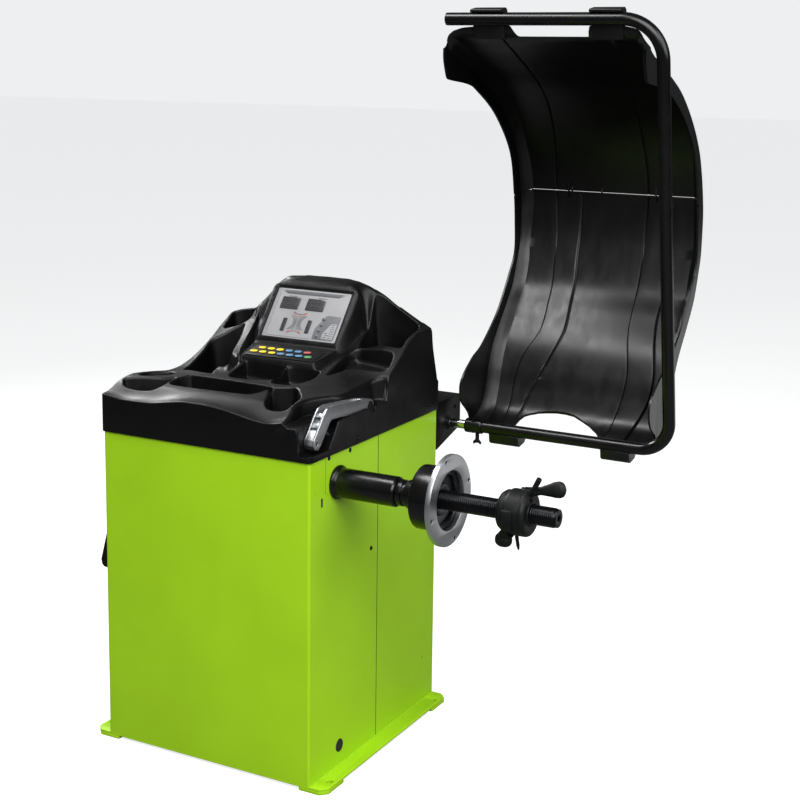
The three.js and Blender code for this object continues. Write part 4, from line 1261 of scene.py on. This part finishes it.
def build_nut():
    """Sliding collar and the quick nut's drum with its pad, lever and pins."""
    cup = spun([[584, 18.4], [584, 28], [585.2, 31.5], [587, 33.8], [589.4, 35.4], [590, 34.6], [590, 18.4]],
               [0.5, 1.2, 1.5, 1.2, 0.4, 0.3, 0.5])
    piece("nut_cup", "nut_slider", "nut_plastic", cup, node="nut_collar", sharp=28)
    drum = spun([[590.3, 18.4], [590.3, 34.8], [592.4, 37.4], [594, 38.2], [601.4, 38.4], [602.4, 39.2],
                 [603.4, 41.2], [606, 42], [630, 42], [631, 41.3], [632, 42], [637, 41.9], [640.6, 40.2],
                 [642.6, 37.4], [643, 33], [643, 18.4]],
                [0.5, 1.0, 1.2, 0.6, 0.6, 0.8, 1.2, 1, 0.4, 0.4, 0.4, 1.2, 1.5, 1.5, 2, 0.5], 96)
    face_lip = spun([[640.5, 18.6], [640.5, 24], [644.5, 23], [644.5, 19.5]], 0.8, 60)
    piece("nut_drum", "nut", "nut_plastic", drum, face_lip, *nut_paddle(), *nut_spoon(), *nut_pins(),
          node="nut_body", sharp=30)


def nut_paddle():
    """Raised pad on the drum that runs down into a round thumb paddle."""
    rings = []
    for angle in np.linspace(-198, -140, 16):
        edge = min(1.0, (angle + 199) / 5, (-139 - angle) / 5)
        low, high = 39.0, 41.4 + 4.0 * edge
        rings.append([radial(angle, x, r) for x, r in
                      ((602, low), (602, high - 1.2), (603.4, high), (619.6, high), (621, high - 1.2),
                       (621, low))])
    path = spline([radial(-112, 606, 37.5), radial(-107, 600, 42), radial(-102, 595, 47),
                   radial(-100, 593, 52)], 2)
    t = np.linspace(0, 1, len(path))
    stem = sweep(path, np.interp(t, [0, 0.45, 1], [11, 12, 14]), np.interp(t, [0, 0.5, 1], [9, 8, 9]),
                 side=[1, 0, 0], seg=32, power=2.6)
    a = math.radians(-100)
    out = np.array([0, math.cos(a), math.sin(a)])
    across = np.array([0, -math.sin(a), math.cos(a)])
    pad = blob(radial(-100, 593, 53.5), ([16.5, 0, 0], across * 9.5, out * 13.5), 2.3, 40)
    return [loft(rings), stem, pad]


def nut_spoon():
    """Long release lever, broad and rounded at its end, with ridges where it leaves the drum."""
    line = ((82, 622, 36), (80, 640, 40), (78, 656, 43.5), (78, 672, 47), (78, 684, 49.5), (78, 693, 51),
            (78, 699, 52), (78, 702.6, 52.6))
    path = spline([radial(*p) for p in line], 1.6)
    t = np.linspace(0, 1, len(path))
    wide = np.interp(t, [0, 0.2, 0.42, 0.6, 0.75, 0.86, 0.93, 0.975, 1],
                     [10, 8, 7.5, 11, 14.4, 15, 13, 8.5, 1.5])
    thick = np.interp(t, [0, 0.2, 0.4, 0.6, 0.78, 0.9, 0.97, 1], [8, 6.4, 6, 7, 8, 7.4, 5, 1.2])
    a = math.radians(78)
    side = [0, math.cos(a), math.sin(a)]
    out = [sweep(path, wide, thick, side=side, seg=36, power=2.2)]
    for s in (-1, 1):
        rib = [radial(80, 626, 38 + 7 * s), radial(79, 641, 41 + 5.5 * s), radial(78, 657, 44.5 + 3 * s)]
        out.append(sweep(spline(rib, 2.5), 1.8, 7.4, side=side, seg=16))
    return out


def nut_pins():
    """Pin with its collar under the lever, and a tapered pin with its boss opposite."""
    path = spline([radial(-80, x, r) for x, r in ((610, 36), (611.5, 58), (612.6, 70), (613, 75.5))], 4)
    width = np.interp(np.linspace(0, 1, len(path)), [0, 0.8, 1], [3.6, 3.2, 1.6])
    return [rod(radial(100, 638, 28), radial(100, 661, 72), 4.9, 1.2), sweep(path, width, seg=20),
            rod(radial(-80, 609, 38), radial(-80, 610, 45), 7, 1.4),
            rod(radial(100, 637, 26), radial(100, 641, 36), 7.2, 1.5)]


# ---------- hood ----------

BACK_LINE = [[26, -14], [63, -12], [100, 6], [126, 44], [148, 89], [181, 135], [244, 192], [295, 242],
             [334, 320], [352.5, 385], [357.5, 440], [345, 526], [304, 613], [236, 695], [158, 750],
             [70, 800], [14, 834], [10, 856]]
FRONT_LINE = [[10, 30], [-18, 62], [-13, 105], [44, 136], [92, 149], [152, 180], [195, 210], [256, 269],
              [290, 310], [300, 378], [302, 441], [290, 537], [223, 633], [138, 701], [97, 722], [14, 746],
              [2, 756], [-5, 790], [-2, 812]]
# Pressed lines inside the hood: height and X pairs.
GROOVES = [
    [[-20, 338], [14, 340], [69, 342], [112, 352], [147, 372], [169, 378], [218, 374], [285, 368], [351, 366],
     [460, 362], [540, 370], [652, 384], [717, 387], [763, 394], [807, 402], [860, 408]],
    [[-20, 366], [17, 373], [73, 398], [112, 414], [152, 430], [173, 432], [221, 426], [287, 421], [353, 421],
     [460, 423], [860, 430]],
    [[-20, 578], [10, 582], [59, 593], [105, 595], [162, 579], [189, 574], [232, 571], [297, 572], [362, 572],
     [464, 577], [542, 576], [642, 577], [732, 596], [809, 626], [860, 640]],
    [[-20, 620], [1, 628], [46, 648], [88, 654], [127, 648], [178, 634], [219, 630], [385, 630], [860, 650]],
]
GROOVES = [spline(line, 12.0) for line in GROOVES]
ARCH = [[370, 20], [371, 40], [374, 75], [381, 87], [398, 96], [434, 101], [462, 103], [492, 100], [524, 88],
        [548, 73], [566, 51], [578, 26], [582, 20]]
TABS = [[280, 816], [283, 826], [290, 838], [300, 846], [314, 851], [340, 854], [422, 856], [425, 853],
        [437, 836], [440, 834], [586, 834], [589, 855], [592, 856], [656, 856], [676, 852], [688, 848],
        [696, 840], [701, 830], [704, 815]]
ARCH_BELOW, TABS_ABOVE = 95, 740  # heights of the arch at the foot and of the tabs at the top


def hood_place(x, b, h):
    """World place of hood points: b behind the frame's plane and h above the hinge along the lean."""
    c, s = math.cos(LEAN), math.sin(LEAN)
    return np.stack(np.broadcast_arrays(x, HINGE["y"] - h * s + b * c, HINGE["z"] + h * c + b * s), -1)


def groove_x(h):
    """X of the four pressed lines at a height."""
    return [np.interp(h, line[:, 0], line[:, 1]) for line in GROOVES]


def panel_rise(x, h):
    """How far the inside skin is pressed in or out: channels between the pressed lines, and sharp lines."""
    g = groove_x(h)
    low = 1 - ease(210, 420, h)
    below_seam = 1 - ease(HOOD["seam"] - 12, HOOD["seam"] + 8, h)
    rise = np.zeros_like(x)
    for a, b in ((0, 1), (2, 3)):
        mid = ease(-1.5, 1.5, x - g[a]) * (1 - ease(-1.5, 1.5, x - g[b]))
        rise += mid * (0.6 * below_seam + 4.4 * low)
    depths = (3.1, 1.5 * (0.6 * below_seam + 0.4 * low), 3.1, 1.4 * low)
    for at, depth in zip(g, depths):
        rise -= depth * np.exp(-((x - at) / 1.5) ** 2)
    return rise


def hood_columns(h):
    """X positions across the back skin at one height: close to the pressed lines, even between them."""
    x = [float(at) for at in groove_x(h)]
    close = (-5, -2.6, -1.3, 0, 1.3, 2.6, 5)
    high = float(ease(640, 780, h))
    arch = [(x[1] + d) * (1 - high) + b * high for d, b in ((8, 437), (14, 441), (22, 452))]
    tab = [(x[2] - d) * (1 - high) + b * high for d, b in ((26, 586), (20, 587.5), (14, 589.2), (8, 592))]
    stops = [line + d for line in x for d in close] + arch + tab
    for a, b, count in ((x[0] + 5, x[1] - 5, 4), (arch[-1], tab[0], 7), (x[2] + 5, x[3] - 5, 3)):
        stops += list(np.linspace(a, b, count + 2)[1:-1])
    return sorted(stops)


def hood_skin(inset, count=170):
    """Rows of one skin of the hood, from the left wall's front edge round the back to the right wall's."""
    line, edge = (resampled(spline(points, 1.0), count) for points in (BACK_LINE, FRONT_LINE))
    tangent = np.gradient(line, axis=0)
    tangent /= np.linalg.norm(tangent, axis=1, keepdims=True)
    normal = np.stack([-tangent[:, 1], tangent[:, 0]], 1)
    line = line + normal * inset
    index = np.arange(count)
    foot = int(np.argmax(line[:, 1] > ARCH_BELOW))
    head = int(np.argmax(line[:, 1] > TABS_ABOVE))
    x0, x1 = HOOD["x0"] + inset, HOOD["x1"] - inset

    def place(i, x):
        """Points and normals on the back skin for row i at x; rows are drawn up to the arch and the tabs."""
        start = np.interp(np.interp(x, *zip(*ARCH)), line[:foot, 0], index[:foot])
        end = np.interp(np.interp(x, *zip(*TABS)), line[head:, 1], index[head:])
        if i < foot:
            i = start + i * (foot - start) / foot
        elif i > head:
            i = head + (i - head) * (end - head) / (count - 1 - head)
        i = np.broadcast_to(i, np.shape(x))
        return tuple(np.stack([np.interp(i, index, table[:, k]) for k in (0, 1)], -1)
                     for table in (line, normal))

    def wall(i, near, cut, corner):
        """The left wall from its front edge to the rounded corner where it meets the back."""
        out = [(x0, *(edge[i] + (corner - edge[i]) * t)) for t in np.linspace(0, 1, 9)]
        for t in np.linspace(0, 1, 6)[1:-1]:
            q = t * math.pi / 2
            x = x0 + 0.65 * cut * t + 0.35 * cut * (1 - math.cos(q))
            reach = 0.65 * t + 0.35 * math.sin(q)
            out.append((x, *(place(i, x)[0] + (corner - near) * (1 - reach))))
        return out

    rows = []
    for i in range(count):
        near = place(i, x0)[0]
        span = np.linalg.norm(near - edge[i])
        cut = max(2.0, min(24.0, 0.45 * span) - inset * 0.6)
        left = wall(i, near, cut, near + (edge[i] - near) / max(span, 1e-6) * cut)
        inner = hood_columns(near[1])
        xs = np.array([*np.linspace(x0 + cut, inner[0], 5)[:-1], *inner,
                       *np.linspace(inner[-1], x1 - cut, 4)[1:]])
        back, out = place(i, xs)
        middle = np.c_[xs, back + out * panel_rise(xs, back[:, 1])[:, None]]
        right = []
        for x, *point in reversed(left):
            other = x0 + x1 - x
            right.append((other, *(np.array(point) + place(i, other)[0] - place(i, x)[0])))
        rows.append(np.vstack([left, middle, right]))
    return rows


def build_hood_shells():
    """Lower and upper shell, cut at the seam, each with its lip and cradles."""
    outer, inner = hood_skin(0.0), hood_skin(HOOD["wall"])
    for name, lower in (("lower", True), ("upper", False)):
        cut = HOOD["seam"] + (-0.15 if lower else 0.15)
        level = np.minimum if lower else np.maximum
        used = [i for i, row in enumerate(outer) if np.any(level(row[:, 2], cut) != cut)]
        skins = [[np.c_[rows[i][:, :2], level(rows[i][:, 2], cut)] for i in used] for rows in (outer, inner)]
        piece(f"hood_{name}", "hood", "hood_plastic", two_skins(*skins), *hood_flange(lower),
              *hood_clips(lower), node=f"hood_shell_{name}", sharp=24)


def two_skins(outer, inner):
    """Closed sheet between two skins, with its four edges joined."""
    n, m = len(outer), len(outer[0])
    verts = [hood_place(r[:, 0], r[:, 1], r[:, 2]) for r in outer + inner]
    start = n * m
    faces = []
    for i in range(n - 1):
        for k in range(m - 1):
            a = i * m + k
            faces.append((a, a + m, a + m + 1, a + 1))
            faces.append((start + a, start + a + 1, start + a + m + 1, start + a + m))
    for i in range(n - 1):
        for a in (i * m, i * m + m - 1):
            faces.append((a, a + m, start + a + m, start + a))
    for k in range(m - 1):
        for a in (k, (n - 1) * m + k):
            faces.append((a, a + 1, start + a + 1, start + a))
    return welded((np.vstack(verts), faces))


def hood_solid(outline, x0, x1, bevel):
    """Bar whose outline is in distance behind the frame plane and height above the hinge."""
    v, f = plate_yz([outline], x0, x1, bevel, 3)
    return hood_place(v[:, 0], v[:, 1], v[:, 2]), f


def hood_flange(lower):
    """Inward lip along the seam with small stiffening webs."""
    way = -1 if lower else 1
    near, far = HOOD["seam"] + way * 0.2, HOOD["seam"] + way * 2.2
    back = 353.0
    lip = rect(back - 0.8, back + 1, min(near, far), max(near, far), 0.5, 2)
    out = [hood_solid(lip, HOOD["x0"] + 22, HOOD["x1"] - 22, 0.5)]
    webs = ((392, 12), (596, 14)) if lower else ((392, 34), (400, 12), (470, 10), (594, 20), (604, 20))
    for x, reach in webs:
        root, tip = far - way, far + way * reach
        web = fillet([[back - 6, root], [back + 1, root], [back + 1, tip]], 0.5, 2)
        out.append(hood_solid(web, x - 1.2, x + 1.2, 0.4))
    return out


def hood_clips(lower):
    """Open cradles behind the pipe that carry the shell."""
    if lower:
        spans, h, turn = ((340, 408), (592, 655)), 0.0, (0.35, -2.45)
        outer = fillet([[-12, -8.6], [-12, -27], [-5, -33], [22, -33], [30, -26], [36, -12], [36, -9],
                        [15, 4.4]], [0.6, 4, 4, 5, 6, 2, 1, 0.6], 4)
    else:
        spans, h, turn = ((346, 413), (594, 658)), HOOD["top"], (-1.35, 1.5)
        outer = fillet([[1, 13.4], [-8, 13.4], [-8, 20], [18, 20], [24, 15], [24, -8], [16, -14], [16, -40],
                        [3, -40], [3, -13.2]], [0.4, 2, 2.5, 3, 3, 5, 5, 1, 1, 0.5], 4)
    arc = [[13.0 * math.cos(a), 13.0 * math.sin(a)] for a in np.linspace(*turn, 14)]
    return [hood_solid(np.vstack([arc, outer]) + [0, h], x0, x1, 1.6) for x0, x1 in spans]


def hood_pipe_path():
    """Middle line of the bent tube, from its open top end round to the pivot sleeve."""
    low, high = 65.0, 78.0
    leg, top = HOOD["leg"], HOOD["top"]

    def bend(r, h, a0, a1, count):
        return [[leg - r + r * math.cos(a), h + r * math.sin(a)] for a in np.linspace(a0, a1, count)[1:]]

    pts = [[x, top] for x in np.linspace(292, leg - high, 40)] + bend(high, top - high, math.pi / 2, 0, 20)
    pts += [[leg, h] for h in np.linspace(top - high, low, 60)[1:]] + bend(low, low, 0, -math.pi / 2, 18)
    return np.array(pts + [[x, 0] for x in np.linspace(leg - low, 282.3, 36)[1:]])


def build_hood_frame():
    """Bent tube with open ends, and the plug in its top one."""
    path = hood_pipe_path()
    world = hood_place(path[:, 0], np.zeros(len(path)), path[:, 1])
    lean, seg, wall = [0, math.cos(LEAN), math.sin(LEAN)], 36, 2
    outer, inner = (sweep(world, r, side=lean, seg=seg, caps=False)
                    for r in (HOOD["tube"], HOOD["tube"] - wall))
    rims = [loft([outer[0][i:i + seg], inner[0][i:i + seg]], True, False)
            for i in (0, (len(world) - 1) * seg)]
    piece("hood_pipe", "hood", "black_paint", outer, inner, *rims, node="hood_frame")
    cap = lathe([[-1.8, 0], [-1.6, 6], [-1.0, 10.8], [0.2, 12.4], [1.5, 12.5], [1.5, 10], [8, 10], [8, 0]], 0,
                0, 36)
    at = hood_place(293.8, 0.0, HOOD["top"])
    piece("hood_pipe_plug", "hood", "rubber", shifted(cap, *at))
    build_pivot()


def build_pivot():
    """Pin, washers, clamp sleeve and wing screw on the hood's axis."""
    y, z = HINGE["y"], HINGE["z"]
    pin = spun([[246.2, 0], [246.2, 9.6], [281.4, 9.6], [281.8, 9.0], [281.8, 0]], [0, 0.4, 0.5, 0.4, 0], 56,
               HINGE)
    stub = spun([[228, 0], [228, 9.4], [246.4, 9.4], [246.4, 0]], [0, 0.4, 0.2, 0], 56, HINGE)
    piece("pivot_bar", "hood", "chrome", pin, stub, node="pivot_pin", sharp=25)
    washers = [spun([[x0, 9.2], [x0, r], [x1, r], [x1, 9.2]], edge, seg, HINGE) for x0, x1, r, edge, seg in
               ((228, 236.5, 15, 0.8, 48), (241.4, 243.2, 15, 0.5, 48), (243.4, 246.0, 13.2, 0.6, 6))]
    piece("pivot_washers", "hood", "screw", *washers, slot="chrome")
    sleeve = [spun([[283, 12.75], [283, 14.4], [284.4, 15.5], [320.5, 15.5], [322, 14.6], [322, 12.75]],
                   [0.2, 0.8, 0.8, 0.8, 0.8, 0.2], 56, HINGE)]
    sleeve += [spun([[x, 15.2], [x + 0.4, 15.9], [x + 1.6, 15.9], [x + 2, 15.2]], 0.2, 48, HINGE)
               for x in (290, 298)]
    piece("pivot_sleeve", "hood", "black_paint", *sleeve, node="pivot_socket", sharp=25)
    x = 309
    screw_parts = [rod([x, y, z + a], [x, y, z + b], r, edge)
                   for a, b, r, edge in ((-31, -15, 4.0, 0.6), (-36, -29.5, 5.0, 1.2))]
    screw_parts += [rod([x, y, z - 17.5 - 1.8 * k], [x, y, z - 18.4 - 1.8 * k], 4.35, 0.3) for k in range(7)]
    for side in (-1, 1):
        path = spline([[x + side * 2, y, z - 31], [x + side * 6, y, z - 34.5], [x + side * 8.4, y, z - 39]],
                      1)
        t = np.linspace(0, 1, len(path))
        screw_parts.append(sweep(path, np.interp(t, [0, 0.7, 1], [3.2, 3.4, 1.2]), 1.8, side=[0, 0, 1],
                                 seg=18))
    piece("wing_screw", "hood", "screw", *screw_parts, node="socket_screw", slot="steel")


def build_bracket():
    """Folded sheet box at the back that carries the hood's pivot."""
    side = fillet([[258.4, 557], [372, 588], [372, 660], [262.4, 660], [262.4, 648.2], [258.4, 648.2]],
                  [1, 4, 4, 2, 1, 1], 4)
    slope = math.atan2(31, 113.6)
    floor = moved(block((101, 0, -2.6), (240, 117.4, 0), 1.2),
                  Matrix.Translation((0, 258.6, 559.4)) @ Matrix.Rotation(slope, 4, "X"))
    parts = [plate_yz([side, circle(HINGE["y"], HINGE["z"], 11, 32)], 238, 241, 0.6),
             plate_yz([side], 100, 103, 0.6),
             block((101, 263, 657.4), (240, 371.6, 660), 1.2),
             block((101, 369.4, 589), (240, 372, 659.4), 1.2),
             floor,
             block((103, 258.4, 560), (238, 260.6, 647), 0.6)]
    piece("bracket_box", "cabinet", "bracket_paint", *parts, node="hood_bracket")
    bolts = [screw(x, 372, z, 5.0, "y") for x in (125, 215) for z in (612, 642)]
    bolts += [screw(241, 346, z, 4.4) for z in (636, 600)]
    piece("bracket_bolts", "cabinet", "screw", *bolts)
    bush = spun([[236.8, 11.2], [236.8, 16], [241.2, 16], [241.2, 11.2]], 0.5, 48, HINGE)
    piece("pivot_bush", "cabinet", "rubber", bush, slot=None)


# ---------- measuring arm ----------

def build_gauge():
    """Cranked arm made of two side plates, a web and ribs, on its rod."""
    foot = [[-240, 688], [-243, 677], [-237, 668], [-226, 666], [-218, 671], [-180, 714], [-168, 714],
            [-100, 708], [-50, 701]]
    side = fillet([[-22, 699], [-16, 706], [-16, 715], [-21, 724], [-60, 731], [-140, 738], [-176, 741],
                   [-192, 739], [-203, 731]] + foot, [4, 5, 5, 5, 60, 60, 12, 10, 12, 9, 8, 7, 7, 9, 12, 16,
                                                      60, 20], 6)
    web = fillet([[-22, 699], [-16, 706], [-16, 715], [-21, 724], [-58, 730.5], [-60, 713], [-100, 722],
                  [-176, 728], [-188, 727], [-224.5, 692], [-222, 707.5]] + foot, 2.5, 3)
    hole = circle(-230, 679, 3.2, 20)
    parts = [plate_yz([side, hole], 235, 240, 1.3, 3), plate_yz([side, hole], 218, 221, 1.0, 3),
             plate_yz([web, hole], 219, 237, 0.8, 2)]
    for y, z, angle in ((-213, 707, 48), (-199, 724, 40)):
        place = Matrix.Translation((0, y, z)) @ Matrix.Rotation(math.radians(angle - 90), 4, "X")
        parts.append(moved(block((220, -1.4, -3), (236, 1.4, 7), 0.8), place))
    parts.append(block((220, -118, 716), (236, -114.5, 729), 0.8))
    piece("gauge_lever", "gauge", "aluminium", *parts, node="gauge_arm", sharp=28)
    bar_part = spun([[-64, 0], [-64, 8], [217.6, 8], [217.6, 0]], [0, 1, 0.5, 0], 48, GAUGE)
    piece("gauge_bar", "gauge", "chrome", bar_part, node="gauge_rod")
    knob = [spun([[207, 8.1], [207, 11.4], [208.2, 12.4], [216.4, 12.4], [217.4, 11.4], [217.4, 8.1]],
                 [0.2, 0.8, 0.8, 0.8, 0.8, 0.2], 48, GAUGE),
            spun([[217.0, 0], [217.0, 9.5], [217.9, 9.5], [217.9, 0]], [0, 0.3, 0.3, 0], 6, GAUGE),
            spun([[240.0, 0], [240.0, 10.2], [240.9, 10.2], [241.0, 9.0], [240.6, 4], [240.6, 0]],
                 [0, 0.3, 0.3, 0.3, 0.3, 0], 40, GAUGE)]
    knob += [rod(radial(15 * k, 208.4, 12.3, GAUGE), radial(15 * k, 216.2, 12.3, GAUGE), 0.7, 0.2, 8)
             for k in range(24)]
    piece("gauge_knob", "gauge", "black_plastic", *knob)


# ---------- inside parts that keep their CAD shape ----------

def dress_inside():
    """Gives the hidden parts, which keep their CAD shape, a finish each."""
    inside = {
        "deck_plate": "bracket_paint", "spindle_cradle": "cast", "spindle_frame": "bracket_paint",
        "sensor_front": "steel", "sensor_rear": "steel", "bearing_inner": "steel", "bearing_outer": "steel",
        "shaft_pulley": "aluminium", "encoder_disc": "steel", "encoder_board": "board",
        "drive_belt": "rubber",
        "motor": "cast", "motor_mount": "bracket_paint", "motor_pulley": "aluminium", "power_board": "board",
        "computer_board": "board", "hood_switch": "black_plastic", "gauge_carriage": "aluminium",
    }
    for node, look in inside.items():
        dress(node, look)


# ---------- camera, light and floor ----------

def make_camera():
    """Camera at the product shot's viewing angle."""
    yaw, pitch, roll = (math.radians(a) for a in (29.145, 9.209, 0.543))
    back = Vector((math.sin(yaw) * math.cos(pitch), -math.cos(yaw) * math.cos(pitch), math.sin(pitch)))
    right = (-back).cross(Vector((0, 0, 1))).normalized()
    up = right.cross(-back)
    right_r = right * math.cos(roll) + up * math.sin(roll)
    up_r = up * math.cos(roll) - right * math.sin(roll)
    data = bpy.data.cameras.new("camera")
    data.sensor_width = 36
    data.lens = 69.16
    data.shift_x = 0.02944
    data.shift_y = -0.12778
    data.clip_end = 60
    camera = bpy.data.objects.new("camera", data)
    turn = Matrix((right_r, up_r, back)).transposed().to_4x4()
    camera.matrix_world = Matrix.Translation(Vector((1.68356, -2.5982, 1.40488))) @ turn
    bpy.context.scene.collection.objects.link(camera)
    bpy.context.scene.camera = camera


def lamp(name, place, aim, size, watts):
    """White area lamp at a place, turned to a point."""
    data = bpy.data.lights.new(name, "AREA")
    data.shape = "RECTANGLE"
    data.size, data.size_y = size
    data.energy = watts
    obj = bpy.data.objects.new(name, data)
    obj.location = place
    obj.rotation_mode = "QUATERNION"
    obj.rotation_quaternion = (Vector(aim) - Vector(place)).to_track_quat("-Z", "Y")
    bpy.context.scene.collection.objects.link(obj)


def make_world():
    """Pale world seen by the camera that lights the machine only dimly."""
    world = bpy.data.worlds.new("studio")
    world.use_nodes = True
    tree = world.node_tree
    background = tree.nodes["Background"]
    background.inputs[0].default_value = (0.95, 0.96, 0.97, 1)
    seen = tree.nodes.new("ShaderNodeLightPath").outputs["Is Camera Ray"]
    strength = tree.nodes.new("ShaderNodeMapRange")
    strength.inputs["To Min"].default_value = 0.13
    strength.inputs["To Max"].default_value = 0.9
    tree.links.new(seen, strength.inputs["Value"])
    tree.links.new(strength.outputs[0], background.inputs[1])
    bpy.context.scene.world = world


def make_floor():
    """Pale floor, dark to every ray but the camera's so that it does not light the hood's inside."""
    look = Look("floor", "B6B6B4", 0.6).mottle(900, 0.01).uneven(300, 0.05)
    seen = look.add("ShaderNodeLightPath").outputs["Is Camera Ray"]
    look.blend(look.math("SUBTRACT", 1.0, seen), (0.13, 0.13, 0.13))
    look.tree.links.new(look.math("MULTIPLY", seen, 0.78), look.shader.inputs["Emission Strength"])
    look.shader.inputs["Emission Color"].default_value = (0.96, 0.97, 0.98, 1)
    n, half_size = 60, 30000.0
    at = np.linspace(-half_size, half_size, n)
    rows = [np.c_[at, np.full(n, y), np.zeros(n)] for y in at]
    verts, faces = loft(rows, False, False)
    mesh = bpy.data.meshes.new("floor")
    mesh.from_pydata((verts * MM).tolist(), [], faces)
    mesh.materials.append(look.material)
    floor = bpy.data.objects.new("floor", mesh)
    bpy.context.scene.collection.objects.link(floor)


def make_stage():
    """Floor, world and lamps: a narrow lamp draws the hood's highlight, wide ones light the rest."""
    bpy.context.scene.view_settings.view_transform = "Standard"
    make_world()
    make_floor()
    lamp("overhead", (-0.32, -0.5, 2.8), (0.4, 0.3, 0.8), (1.2, 0.5), 32)
    lamp("front", (1.6, -2.9, 3.4), (0.1, 0, 0.4), (3.4, 2.8), 225)
    lamp("side", (3.3, -0.6, 2.4), (0.1, 0, 0.3), (2.8, 2.4), 85)
    lamp("rim", (-2.2, 0.9, 2.2), (0, -0.1, 0.8), (1.2, 0.7), 62)
    lamp("low back", (1.6, 1.85, 0.35), (0.43, -0.16, 0.6), (1.8, 0.8), 3.6)


make_camera()
make_stage()
build_cabinet()
build_cover()
build_display()
build_keypad()
build_spindle()
build_nut()
build_hood_shells()
build_hood_frame()
build_bracket()
build_gauge()
dress_inside()
